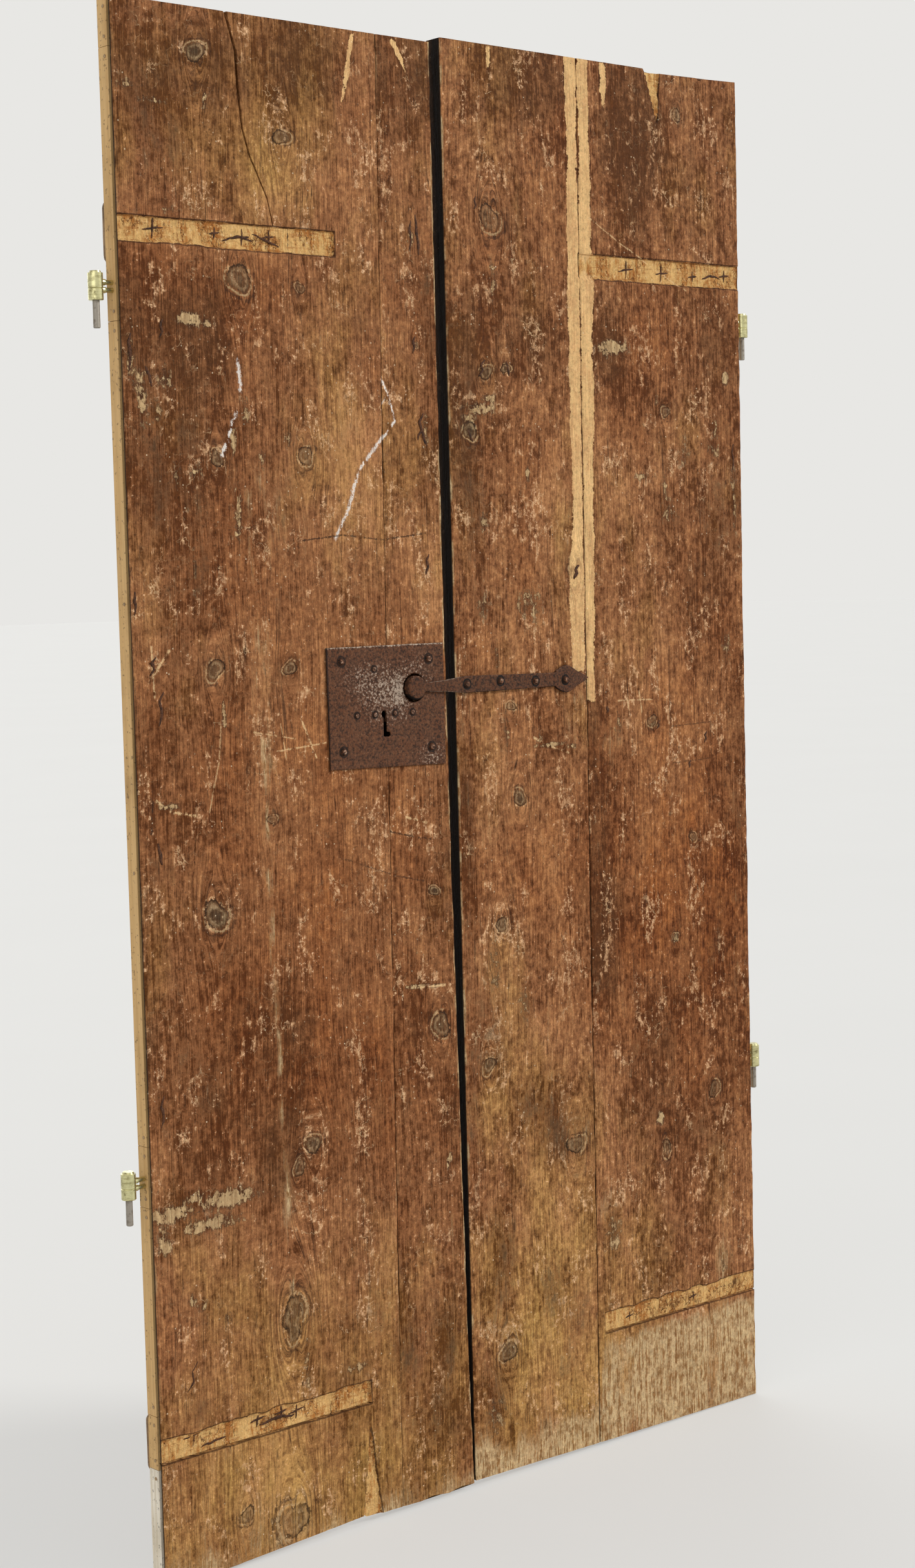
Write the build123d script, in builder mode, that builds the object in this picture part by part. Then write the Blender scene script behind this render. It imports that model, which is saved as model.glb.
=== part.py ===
from build123d import *
import math
import os

os.makedirs("parts", exist_ok=True)

# Two-leaf barn door, closed, seen from the side that carries the lock.
# +X runs to the right, +Z up, and the front of the leaves looks along -Y.
# The origin is on the lower left hinge pin, halfway down its free length.
# Heights are above the foot of the hinge edges, distances across a leaf are
# from the left leaf's hinge edge or from the right leaf's free edge.

# Leaves
leaf_thickness = 28.0
leaf_height = 1900.0
right_leaf_rise = 8.0
left_width_foot = 500.0
left_top_narrowing = 15.5
bow_start = 1500.0
left_foot_rise = 8.0
narrow_board_top = 88.5
narrow_board_foot = 125.0
meeting_gap = 3.0
right_width = 555.0
right_foot_rise = 10.0
inner_board_top = 242.0
inner_board_foot = 233.0
board_gap = 0.8
arris_radius = 1.5

# Worn ends of the boards
foot_step_from_joint = 63.0
foot_step_rise = 12.5
foot_step = 3.0
ragged_rise = 2.5
top_step_from_hinge_edge = 184.0
top_step = 4.5
top_notch_from_hinge_edge = 74.0
top_notch_width = 12.0
top_notch_depth = 4.0
edge_chip_below_top = 540.0
edge_chip_length = 28.0
edge_chip_depth = 6.0

# Split in the wide board, as distance from the hinge edge and depth below the top
split_path = [(163.0, -2.0), (177.0, 44.0), (179.0, 88.0), (184.0, 136.0),
              (193.0, 166.0), (218.0, 216.0), (226.0, 249.0)]
split_width_top = 3.2
split_width_foot = 1.0

# Beds of old strap hinges on the front, each with a saw kerf along one side
bed_depth = 3.0
bed_height = 30.0
upper_bed_below_top = 250.0
lower_bed_foot = 158.0
left_upper_bed_to_joint = 75.0
left_lower_bed_to_joint = 48.0
left_upper_kerf_to_joint = 149.0
right_lower_bed_start = 248.0
kerf_width = 1.8
kerf_depth = 7.0

# Splinters lost from the front: one rises from the foot beside the left joint, and one
# hangs from the top of the right leaf, placed from its hinge edge
splinter_depth = 1.6
left_splinter = [(-66.0, 2.0), (-34.0, 2.0), (-50.0, 125.0)]
right_splinter = [(-184.0, 4.0), (-153.0, 4.0), (-159.0, -71.0)]

# Hinge edges: front lip, rebate behind it and the lath pieces nailed in
lip_thickness = 4.0
lath_thickness = 10.0
lath_width = 19.0
lath_gap = 0.6
lath_joints_above_foot = [149.0, 215.5, 472.0, 547.0]
lath_joints_below_top = [372.0, 57.0]
lath_nail_radius = 1.1
lath_nail_head_radius = 2.2
lath_nail_head = 0.6
lath_nail_length = 26.0
lath_nail_inset = 11.0
lath_nail_setback = 6.0
lath_nail_pitch = 330.0

# Drill-in hinges: brass barrels with two stems, on shouldered steel pins
hinge_out = 23.0
hinge_back = 17.0
lower_barrel_foot = 486.5
upper_barrel_below_top = 349.0
barrel_radius = 9.0
barrel_height = 34.0
barrel_cap_radius = 7.2
barrel_cap_height = 2.4
barrel_groove = 0.5
barrel_groove_height = 1.2
barrel_groove_share = 0.4
barrel_bevel = 0.8
barrel_bore_radius = 3.3
barrel_bore_depth = 27.5
stem_radius = 3.0
stem_facets = 12
stem_length = 50.0
stem_spacing = 9.0
stem_collar_radius = 3.9
stem_collar_reach = 12.5
pin_radius = 4.2
pin_reach = 31.0
pin_bevel = 0.8
pin_running_gap = 0.05
bearing_gap = 0.2

# Ledges on the back, each keyed into a dovetail housing
upper_ledge_below_top = 265.0
lower_ledge_height = 173.0
ledge_mouth = 72.0
ledge_base = 79.0
ledge_key = 9.0
ledge_proud = 22.0
ledge_bevel = 5.0
ledge_end_inset = 6.0
joinery_gap = 0.1

# Lock plate on the left leaf
plate_width = 194.0
plate_height = 156.0
plate_thickness = 2.2
plate_skew = 4.0
plate_inset = 5.5
plate_centre_below_boss = 21.5
plate_nail_inset = 24.0
plate_nail_spread = 2.0
plate_top_nail_inset = 19.0
keyhole_from_left = 92.0
keyhole_below_boss = 31.0
keyhole_head_radius = 4.6
keyhole_slot_width = 5.6
keyhole_drop = 29.0
keyhole_foot_length = 11.0
keyhole_foot_height = 6.0
boss_hole_radius = 18.5
boss_from_left = 143.5
boss_height = 1078.0

# Nails and rivets with hammered heads
nail_head_radius = 5.6
nail_head_facets = 10
nail_head = 3.0
nail_head_taper = 38.0
nail_shank = 4.0
nail_length = 22.0
rivet_facets = 8
rivet_head_radius = 4.0
rivet_head = 1.6
rivet_radius = 2.4
rivet_tail = 1.2
rivet_row_offsets = [-45.0, -15.5, 17.5, 47.0]
spring_rivet_offset = -15.5
spring_rivet_above_boss = 27.0
fit_gap = 0.05

# Mortise behind the plate, and the works in it
mortise_depth = 18.0
mortise_left_inset = 32.0
mortise_right_inset = 14.0
mortise_below_boss = 66.0
mortise_above_boss = 36.0
mortise_corner = 6.0
bolt_height = 12.0
bolt_thickness = 5.0
bolt_setback = 4.0
bolt_length = 80.0
bolt_nose_gap = 10.0
bolt_nose_bevel = 2.5
bolt_talon_width = 12.0
bolt_talon_depth = 6.0
bolt_talon_from_tail = 30.0
guide_width = 8.0
guide_depth = 12.0
guide_foot = 2.4
guide_lean = 19.0
guide_cap = 6.0
guide_clearance = 0.3
key_bridge_height = 10.0
key_bridge_depth = 14.0
key_bridge_thickness = 2.0
key_end_radius = 3.2
key_ward_radius = 9.6
key_ward_wall = 1.4
key_ward_rim = 6.4
key_ward_gap = 7.0
spring_thickness = 1.2
spring_width = 5.0
spring_eye_wall = 1.8
spring_reach = 38.0
spring_gap = 0.3

# Forged strap on the right leaf, with the boss that laps into the plate
strap_thickness = 4.0
strap_lap_gap = 0.5
strap_waist_height = 12.0
strap_waist_reach = 54.0
strap_neck_height = 15.2
strap_neck_reach = 23.0
strap_bar_height = 22.4
strap_bar_start = 16.0
strap_bar_length = 175.0
strap_bar_end_height = 18.4
strap_bar_drop = 1.0
strap_bend_reach = 14.0
strap_point_height = 36.6
strap_point_reach = 65.0
strap_point_swell = 21.0
strap_point_neck = 0.86
strap_point_waist = 0.55
boss_radius = 15.5
boss_plug = 1.0
boss_crown = 2.0
boss_crown_taper = 48.0
strap_nail_reaches = [15.5, 74.5, 138.0, 193.5]
strap_nail_rises = [0.4, 2.0, -1.4, -2.2]
square_nail_side = 9.0
staple_bar = 6.0
staple_leg = 5.0
staple_half_spread = 10.0
staple_depth = 11.0
staple_back = 3.5
staple_root = 5.0

# Places worked out from the sizes above
left_width_top = left_width_foot - left_top_narrowing
wide_board_top = left_width_top - narrow_board_top
wide_board_foot = left_width_foot - narrow_board_foot
foot_step_x = wide_board_foot - foot_step_from_joint
left_upper_bed_length = wide_board_top - left_upper_bed_to_joint
left_lower_bed_length = wide_board_foot - left_lower_bed_to_joint
left_upper_kerf_length = wide_board_top - left_upper_kerf_to_joint
right_height = leaf_height + right_leaf_rise
upper_bed_top = leaf_height - upper_bed_below_top
upper_ledge_height = leaf_height - upper_ledge_below_top
upper_barrel_foot = leaf_height - upper_barrel_below_top
edge_chip_height = right_height - edge_chip_below_top
lath_joints = lath_joints_above_foot + [leaf_height - depth for depth in lath_joints_below_top]
top_step_x = right_width - top_step_from_hinge_edge
top_notch_x = right_width - top_notch_from_hinge_edge
plate_centre_height = boss_height - plate_centre_below_boss
keyhole_height = boss_height - keyhole_below_boss
spring_rivet_height = boss_height + spring_rivet_above_boss
mortise_foot = boss_height - mortise_below_boss
mortise_top = boss_height + mortise_above_boss
left_edge_x = hinge_out
front_y = -hinge_back
rear_y = front_y + leaf_thickness
pin_shoulder = lower_barrel_foot - bearing_gap
sill_z = pin_reach / 2 - pin_shoulder
free_edge_x = left_edge_x + left_width_foot + meeting_gap
right_edge_x = free_edge_x + right_width
right_axis_x = right_edge_x + hinge_out
front_of_laths = leaf_thickness - lath_width
lath_nail_y = front_y + front_of_laths + lath_nail_setback

left_face = Plane(origin=(left_edge_x, front_y, sill_z), x_dir=(1, 0, 0), z_dir=(0, -1, 0))
right_face = Plane(origin=(free_edge_x, front_y, sill_z), x_dir=(1, 0, 0), z_dir=(0, -1, 0))
left_edge = Plane(origin=(left_edge_x, 0, sill_z), x_dir=(0, -1, 0), z_dir=(-1, 0, 0))
right_edge = Plane(origin=(right_edge_x, 0, sill_z), x_dir=(0, 1, 0), z_dir=(1, 0, 0))


def left_free_edge(height):
    """Distance of the left leaf's bowed free edge from its hinge edge."""
    share = max(0.0, (bow_start - height) / bow_start)
    return left_width_top + (left_width_foot - left_width_top) * share**2


# Places on the lock, measured across the left leaf
plate_right = left_free_edge(plate_centre_height) - plate_inset
plate_left = plate_right - plate_width
plate_foot = plate_centre_height - plate_height / 2
plate_top = plate_centre_height + plate_height / 2
key_x = plate_left + keyhole_from_left
boss_x = plate_left + boss_from_left
boss_u = left_edge_x + boss_x - free_edge_x
mortise_left = plate_left + mortise_left_inset
mortise_right = plate_right - mortise_right_inset
bolt_nose = boss_x - staple_bar / 2 - bolt_nose_gap
bolt_tail = bolt_nose - bolt_length
upper_nail_height = plate_top - plate_top_nail_inset
plate_nails_at = [
    (plate_left + plate_nail_inset, upper_nail_height + plate_nail_spread / 2),
    (plate_right - plate_nail_inset - plate_nail_spread, upper_nail_height - plate_nail_spread / 2),
    (plate_left + plate_nail_inset, plate_foot + plate_nail_inset),
    (plate_right - plate_nail_inset, plate_foot + plate_nail_inset - plate_nail_spread),
]
rivet_row_at = [(key_x + offset, keyhole_height) for offset in rivet_row_offsets]
outer_rivets_at = [rivet_row_at[0], rivet_row_at[-1]]
spring_rivet_at = (key_x + spring_rivet_offset, spring_rivet_height)
strap_nails_at = [(reach, boss_height + rise) for reach, rise in zip(strap_nail_reaches, strap_nail_rises)]
staple_legs_at = [(boss_u, boss_height + staple_half_spread), (boss_u, boss_height - staple_half_spread)]


def lath_spans(leaf_height, joints):
    """Foot and top of each lath piece between its joints."""
    feet = [0.0] + joints
    tops = joints + [leaf_height]
    return [(foot + lath_gap / 2, top - lath_gap / 2) for foot, top in zip(feet, tops)]


def lath_nail_heights(foot, top):
    """Heights of the nails in one lath piece, from one end to the other."""
    first = foot + lath_nail_inset
    last = top - lath_nail_inset
    count = max(2, math.ceil((last - first) / lath_nail_pitch) + 1)
    return [first + (last - first) * i / (count - 1) for i in range(count)]


left_lath_names = ["foot", "short", "lower", "lower_block", "middle", "upper", "top"]
left_lath_spans = lath_spans(leaf_height, lath_joints)
right_lath_names = ["lower", "lower_block", "middle", "upper"]
right_lath_spans = lath_spans(right_height, lath_joints[2:5])
left_nail_heights = [z for span in left_lath_spans for z in lath_nail_heights(*span)]
right_nail_heights = [z for span in right_lath_spans for z in lath_nail_heights(*span)]
barrel_feet = {"lower": lower_barrel_foot, "upper": upper_barrel_foot}
stem_heights = [
    foot + barrel_height / 2 + side * stem_spacing / 2 for foot in barrel_feet.values() for side in (-1, 1)
]

# Offsets of the laths' nails in the two edge planes
left_nail_x = -lath_nail_y
right_nail_x = lath_nail_y


# Space of the dovetail housings, across the back of both leaves
with BuildPart() as ledge_housings:
    with BuildSketch(Plane.YZ.offset(left_edge_x)):
        for ledge_height in (upper_ledge_height, lower_ledge_height):
            with BuildLine():
                Polyline(
                    (rear_y, sill_z + ledge_height - ledge_mouth / 2),
                    (rear_y, sill_z + ledge_height + ledge_mouth / 2),
                    (rear_y - ledge_key, sill_z + ledge_height + ledge_base / 2),
                    (rear_y - ledge_key, sill_z + ledge_height - ledge_base / 2),
                    close=True,
                )
            make_face()
    extrude(amount=right_edge_x - left_edge_x)


# Space of the mortise behind the lock plate
with BuildPart() as mortise:
    with BuildSketch(left_face):
        with Locations(((mortise_left + mortise_right) / 2, (mortise_foot + mortise_top) / 2)):
            RectangleRounded(mortise_right - mortise_left, mortise_top - mortise_foot, mortise_corner)
    extrude(amount=-mortise_depth)


# Left leaf, wide board
with BuildPart() as left_wide_board:
    with BuildSketch(left_face):
        with BuildLine():
            Polyline(
                (0, 0),
                (foot_step_x, foot_step_rise),
                (foot_step_x + foot_step, foot_step_rise - foot_step),
                (wide_board_foot - board_gap / 2, left_foot_rise),
                (wide_board_top - board_gap / 2, leaf_height),
                (0, leaf_height),
                close=True,
            )
        make_face()
    extrude(amount=-leaf_thickness)
    fillet(left_wide_board.faces().sort_by(Axis.Y)[0].edges().sort_by(Axis.X)[0], arris_radius)
    with BuildSketch(left_face.offset(-lip_thickness)):
        with Locations((lath_thickness / 2, leaf_height / 2)):
            Rectangle(lath_thickness, leaf_height)
    extrude(amount=-leaf_thickness, mode=Mode.SUBTRACT)
    with BuildSketch(left_face):
        with BuildLine():
            share = [i / (len(split_path) - 1) for i in range(len(split_path))]
            width = [split_width_top + (split_width_foot - split_width_top) * s for s in share]
            Polyline(
                *[(x - w / 2, leaf_height - down) for (x, down), w in zip(split_path, width)],
                *[(x + w / 2, leaf_height - down) for (x, down), w in reversed(list(zip(split_path, width)))],
                close=True,
            )
        make_face()
    extrude(amount=-leaf_thickness, mode=Mode.SUBTRACT)
    with BuildSketch(left_face):
        with Locations((left_upper_bed_length / 2, upper_bed_top - bed_height / 2)):
            Rectangle(left_upper_bed_length, bed_height)
        with Locations((left_lower_bed_length / 2, lower_bed_foot + bed_height / 2)):
            Rectangle(left_lower_bed_length, bed_height)
    extrude(amount=-bed_depth, mode=Mode.SUBTRACT)
    with BuildSketch(left_face):
        with Locations((left_upper_kerf_length / 2, upper_bed_top)):
            Rectangle(left_upper_kerf_length, kerf_width)
        with Locations((left_lower_bed_length / 2, lower_bed_foot)):
            Rectangle(left_lower_bed_length, kerf_width)
    extrude(amount=-kerf_depth, mode=Mode.SUBTRACT)
    with BuildSketch(left_face):
        with BuildLine():
            Polyline(*[(wide_board_foot + x, z) for x, z in left_splinter], close=True)
        make_face()
    extrude(amount=-splinter_depth, mode=Mode.SUBTRACT)
    add(ledge_housings.part, mode=Mode.SUBTRACT)
    add(mortise.part, mode=Mode.SUBTRACT)
    with BuildSketch(left_face):
        with Locations(*[place for place in plate_nails_at if place[0] < key_x]):
            Rectangle(nail_shank + 2 * fit_gap, nail_shank + 2 * fit_gap)
    extrude(amount=-nail_length - fit_gap, mode=Mode.SUBTRACT)
    with BuildSketch(left_edge):
        with Locations(*[(0, z) for z in stem_heights]):
            RegularPolygon(stem_radius + fit_gap, stem_facets)
    extrude(amount=-(stem_length - hinge_out) - fit_gap, mode=Mode.SUBTRACT)
    with BuildSketch(left_edge):
        with Locations(*[(left_nail_x, z) for z in left_nail_heights]):
            Rectangle(2 * (lath_nail_radius + fit_gap), 2 * (lath_nail_radius + fit_gap))
    extrude(amount=-lath_nail_length - fit_gap, mode=Mode.SUBTRACT)
left_wide_board.part.label = "left_wide_board"
export_step(left_wide_board.part, "parts/left_wide_board.step")


# Left leaf, narrow board with the bowed free edge
with BuildPart() as left_narrow_board:
    ragged_span = left_width_foot - wide_board_foot
    with BuildSketch(left_face):
        with BuildLine():
            Polyline(
                (left_width_foot, left_foot_rise - ragged_rise / 2),
                (left_width_foot - 0.18 * ragged_span, left_foot_rise + ragged_rise / 2),
                (left_width_foot - 0.36 * ragged_span, left_foot_rise - ragged_rise),
                (left_width_foot - 0.58 * ragged_span, left_foot_rise + ragged_rise / 2),
                (left_width_foot - 0.75 * ragged_span, left_foot_rise - ragged_rise / 2),
                (wide_board_foot + board_gap / 2, left_foot_rise),
                (wide_board_top + board_gap / 2, leaf_height),
                (left_width_top, leaf_height),
                (left_width_top, bow_start),
            )
            Bezier(
                (left_width_top, bow_start),
                (left_width_top, bow_start / 2),
                (left_width_foot, left_foot_rise - ragged_rise / 2),
            )
        make_face()
    extrude(amount=-leaf_thickness)
    add(ledge_housings.part, mode=Mode.SUBTRACT)
    add(mortise.part, mode=Mode.SUBTRACT)
    with BuildSketch(left_face):
        with Locations(*[place for place in plate_nails_at if place[0] > key_x]):
            Rectangle(nail_shank + 2 * fit_gap, nail_shank + 2 * fit_gap)
    extrude(amount=-nail_length - fit_gap, mode=Mode.SUBTRACT)
left_narrow_board.part.label = "left_narrow_board"
export_step(left_narrow_board.part, "parts/left_narrow_board.step")


# Right leaf, inner board with the strap's nail holes
with BuildPart() as right_inner_board:
    with BuildSketch(right_face):
        with BuildLine():
            Polyline(
                (0, right_foot_rise),
                (inner_board_foot / 2, right_foot_rise - ragged_rise),
                (inner_board_foot - board_gap, right_foot_rise - 2 * ragged_rise),
                (inner_board_top - board_gap / 2, right_height),
                (0, right_height),
                close=True,
            )
        make_face()
    extrude(amount=-leaf_thickness)
    fillet(right_inner_board.faces().sort_by(Axis.Y)[0].edges().sort_by(Axis.X)[0], arris_radius)
    add(ledge_housings.part, mode=Mode.SUBTRACT)
    with BuildSketch(right_face):
        with Locations(*strap_nails_at):
            Rectangle(nail_shank + 2 * fit_gap, nail_shank + 2 * fit_gap)
    extrude(amount=-nail_length - fit_gap, mode=Mode.SUBTRACT)
right_inner_board.part.label = "right_inner_board"
export_step(right_inner_board.part, "parts/right_inner_board.step")


# Right leaf, outer board with the hinge edge
with BuildPart() as right_outer_board:
    with BuildSketch(right_face):
        with BuildLine():
            Polyline(
                (inner_board_foot + board_gap, right_foot_rise - 2 * ragged_rise),
                (right_width, 0),
                (right_width, right_height),
                (top_notch_x + top_notch_width / 2, right_height - top_step / 2),
                (top_notch_x, right_height - top_step / 2 - top_notch_depth),
                (top_notch_x - top_notch_width / 2, right_height - top_step / 2),
                (top_step_x, right_height - top_step),
                (top_step_x - 1, right_height),
                (inner_board_top + board_gap / 2, right_height),
                close=True,
            )
        make_face()
    extrude(amount=-leaf_thickness)
    fillet(right_outer_board.faces().sort_by(Axis.Y)[0].edges().sort_by(Axis.X)[-1], arris_radius)
    with BuildSketch(right_face.offset(-lip_thickness)):
        with Locations((right_width - lath_thickness / 2, right_height / 2)):
            Rectangle(lath_thickness, right_height)
    extrude(amount=-leaf_thickness, mode=Mode.SUBTRACT)
    with BuildSketch(right_face):
        with Locations((right_width, upper_bed_top - bed_height / 2)):
            Rectangle(2 * (right_width - inner_board_foot), bed_height)
        with Locations((right_width, lower_bed_foot + bed_height / 2)):
            Rectangle(2 * (right_width - right_lower_bed_start), bed_height)
    extrude(amount=-bed_depth, mode=Mode.SUBTRACT)
    with BuildSketch(right_face):
        with Locations((right_width, upper_bed_top)):
            Rectangle(2 * (right_width - inner_board_foot), kerf_width)
        with Locations((right_width, lower_bed_foot)):
            Rectangle(2 * (right_width - right_lower_bed_start), kerf_width)
    extrude(amount=-kerf_depth, mode=Mode.SUBTRACT)
    with BuildSketch(right_face):
        with BuildLine():
            Polyline(*[(right_width + x, right_height + z) for x, z in right_splinter], close=True)
        make_face()
    extrude(amount=-splinter_depth, mode=Mode.SUBTRACT)
    with BuildSketch(right_face):
        with BuildLine():
            Polyline(
                (right_width + 1, edge_chip_height - edge_chip_length / 2),
                (right_width + 1, edge_chip_height + edge_chip_length / 2),
                (right_width - edge_chip_depth, edge_chip_height + edge_chip_length / 6),
                (right_width - edge_chip_depth / 2, edge_chip_height - edge_chip_length / 4),
                close=True,
            )
        make_face()
    extrude(amount=-lip_thickness, mode=Mode.SUBTRACT)
    add(ledge_housings.part, mode=Mode.SUBTRACT)
    with BuildSketch(right_edge):
        with Locations(*[(0, z) for z in stem_heights]):
            RegularPolygon(stem_radius + fit_gap, stem_facets)
    extrude(amount=-(stem_length - hinge_out) - fit_gap, mode=Mode.SUBTRACT)
    with BuildSketch(right_edge):
        with Locations(*[(right_nail_x, z) for z in right_nail_heights]):
            Rectangle(2 * (lath_nail_radius + fit_gap), 2 * (lath_nail_radius + fit_gap))
    extrude(amount=-lath_nail_length - fit_gap, mode=Mode.SUBTRACT)
right_outer_board.part.label = "right_outer_board"
export_step(right_outer_board.part, "parts/right_outer_board.step")


# Ledges: a bevelled batten with a dovetail key along its front
ledge_ends = {
    "left_upper_ledge": (
        upper_ledge_height,
        left_edge_x + lath_thickness,
        left_edge_x + left_free_edge(upper_ledge_height) - ledge_end_inset,
    ),
    "left_lower_ledge": (
        lower_ledge_height,
        left_edge_x + lath_thickness,
        left_edge_x + left_free_edge(lower_ledge_height) - ledge_end_inset,
    ),
    "right_upper_ledge": (
        upper_ledge_height,
        free_edge_x + ledge_end_inset,
        right_edge_x - lath_thickness,
    ),
    "right_lower_ledge": (
        lower_ledge_height,
        free_edge_x + ledge_end_inset,
        right_edge_x - lath_thickness,
    ),
}
for ledge_name, (ledge_height, start_x, end_x) in ledge_ends.items():
    with BuildPart() as ledge:
        ledge_z = sill_z + ledge_height
        half_mouth = ledge_mouth / 2 - joinery_gap
        half_base = ledge_base / 2 - joinery_gap
        with BuildSketch(Plane.YZ.offset(start_x)):
            with BuildLine():
                Polyline(
                    (rear_y, ledge_z - half_mouth),
                    (rear_y - ledge_key + joinery_gap, ledge_z - half_base),
                    (rear_y - ledge_key + joinery_gap, ledge_z + half_base),
                    (rear_y, ledge_z + half_mouth),
                    (rear_y + ledge_proud - ledge_bevel, ledge_z + half_mouth),
                    (rear_y + ledge_proud, ledge_z + half_mouth - ledge_bevel),
                    (rear_y + ledge_proud, ledge_z - half_mouth + ledge_bevel),
                    (rear_y + ledge_proud - ledge_bevel, ledge_z - half_mouth),
                    close=True,
                )
            make_face()
        extrude(amount=end_x - start_x)
    ledge.part.label = ledge_name
    export_step(ledge.part, f"parts/{ledge_name}.step")


# Laths nailed into the rebate of each hinge edge
lath_pieces = [
    (f"left_lath_{name}", span, left_face, 0.0, left_edge, left_nail_x)
    for name, span in zip(left_lath_names, left_lath_spans)
]
lath_pieces += [
    (f"right_lath_{name}", span, right_face, right_width - lath_thickness, right_edge, right_nail_x)
    for name, span in zip(right_lath_names, right_lath_spans)
]
for lath_name, (foot, top), face, lath_x, edge, nail_x in lath_pieces:
    with BuildPart() as lath:
        with BuildSketch(face.offset(-front_of_laths)):
            with Locations((lath_x + lath_thickness / 2, (foot + top) / 2)):
                Rectangle(lath_thickness, top - foot)
        extrude(amount=-lath_width)
        with BuildSketch(edge):
            with Locations(*[(nail_x, z) for z in lath_nail_heights(foot, top)]):
                Rectangle(2 * (lath_nail_radius + fit_gap), 2 * (lath_nail_radius + fit_gap))
        extrude(amount=-lath_thickness, mode=Mode.SUBTRACT)
        piece_stems = [z for z in stem_heights if foot < z < top]
        if piece_stems:
            with BuildSketch(edge):
                with Locations(*[(0, z) for z in piece_stems]):
                    RegularPolygon(stem_radius + fit_gap, stem_facets)
            extrude(amount=-lath_thickness, mode=Mode.SUBTRACT)
    lath.part.label = lath_name
    export_step(lath.part, f"parts/{lath_name}.step")


# Small nails of the laths, square shanks under flat heads
lath_nail_sets = [
    ("left_lath_nails", left_edge, left_nail_x, left_nail_heights),
    ("right_lath_nails", right_edge, right_nail_x, right_nail_heights),
]
for nails_name, edge, nail_x, heights in lath_nail_sets:
    with BuildPart() as lath_nails:
        with BuildSketch(edge):
            with Locations(*[(nail_x, z) for z in heights]):
                Rectangle(2 * lath_nail_radius, 2 * lath_nail_radius)
        extrude(amount=-lath_nail_length)
        with BuildSketch(edge):
            with Locations(*[(nail_x, z) for z in heights]):
                RegularPolygon(lath_nail_head_radius, rivet_facets)
        extrude(amount=lath_nail_head)
    lath_nails.part.label = nails_name
    export_step(lath_nails.part, f"parts/{nails_name}.step")


# Hinge barrels with their stems, and the shouldered pins they turn on
hinge_sides = {"left": (0.0, 1), "right": (right_axis_x, -1)}
for side, (axis_x, towards_leaf) in hinge_sides.items():
    for level, barrel_foot in barrel_feet.items():
        with BuildPart() as barrel:
            barrel_top = barrel_height - barrel_cap_height
            groove_mid = barrel_height * barrel_groove_share
            barrel_foot_centre = (axis_x, 0, sill_z + barrel_foot)
            barrel_section = Plane(origin=barrel_foot_centre, x_dir=(1, 0, 0), z_dir=(0, -1, 0))
            with BuildSketch(barrel_section):
                with BuildLine():
                    Polyline(
                        (barrel_bore_radius, 0),
                        (barrel_radius - barrel_bevel, 0),
                        (barrel_radius, barrel_bevel),
                        (barrel_radius, groove_mid - barrel_groove_height / 2),
                        (barrel_radius - barrel_groove, groove_mid),
                        (barrel_radius, groove_mid + barrel_groove_height / 2),
                        (barrel_radius, barrel_top),
                        (barrel_cap_radius, barrel_top),
                        (barrel_cap_radius - barrel_bevel, barrel_height),
                        (0, barrel_height),
                        (0, barrel_bore_depth),
                        (barrel_bore_radius, barrel_bore_depth),
                        close=True,
                    )
                make_face()
            revolve(axis=Axis((axis_x, 0, 0), (0, 0, 1)))
            stem_plane = Plane(
                origin=(axis_x, 0, sill_z + barrel_foot + barrel_height / 2),
                x_dir=(0, -towards_leaf, 0),
                z_dir=(-towards_leaf, 0, 0),
            )
            stem_start = (barrel_radius + barrel_bore_radius) / 2
            for radius, reach in ((stem_radius, stem_length), (stem_collar_radius, stem_collar_reach)):
                with BuildSketch(stem_plane.offset(-stem_start)):
                    with Locations((0, stem_spacing / 2), (0, -stem_spacing / 2)):
                        RegularPolygon(radius, stem_facets)
                extrude(amount=-(reach - stem_start))
        barrel.part.label = f"{side}_{level}_hinge_barrel"
        export_step(barrel.part, f"parts/{side}_{level}_hinge_barrel.step")

        with BuildPart() as pin:
            shoulder_z = sill_z + barrel_foot - bearing_gap
            journal_length = barrel_bore_depth - bearing_gap
            with BuildSketch(Plane(origin=(axis_x, 0, shoulder_z), x_dir=(1, 0, 0), z_dir=(0, -1, 0))):
                with BuildLine():
                    Polyline(
                        (0, -pin_reach - pin_bevel),
                        (pin_radius - pin_bevel, -pin_reach - pin_bevel),
                        (pin_radius, -pin_reach),
                        (pin_radius, 0),
                        (barrel_bore_radius - pin_running_gap, 0),
                        (barrel_bore_radius - pin_running_gap, journal_length),
                        (0, journal_length),
                        close=True,
                    )
                make_face()
            revolve(axis=Axis((axis_x, 0, 0), (0, 0, 1)))
        pin.part.label = f"{side}_{level}_hinge_pin"
        export_step(pin.part, f"parts/{side}_{level}_hinge_pin.step")


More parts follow.
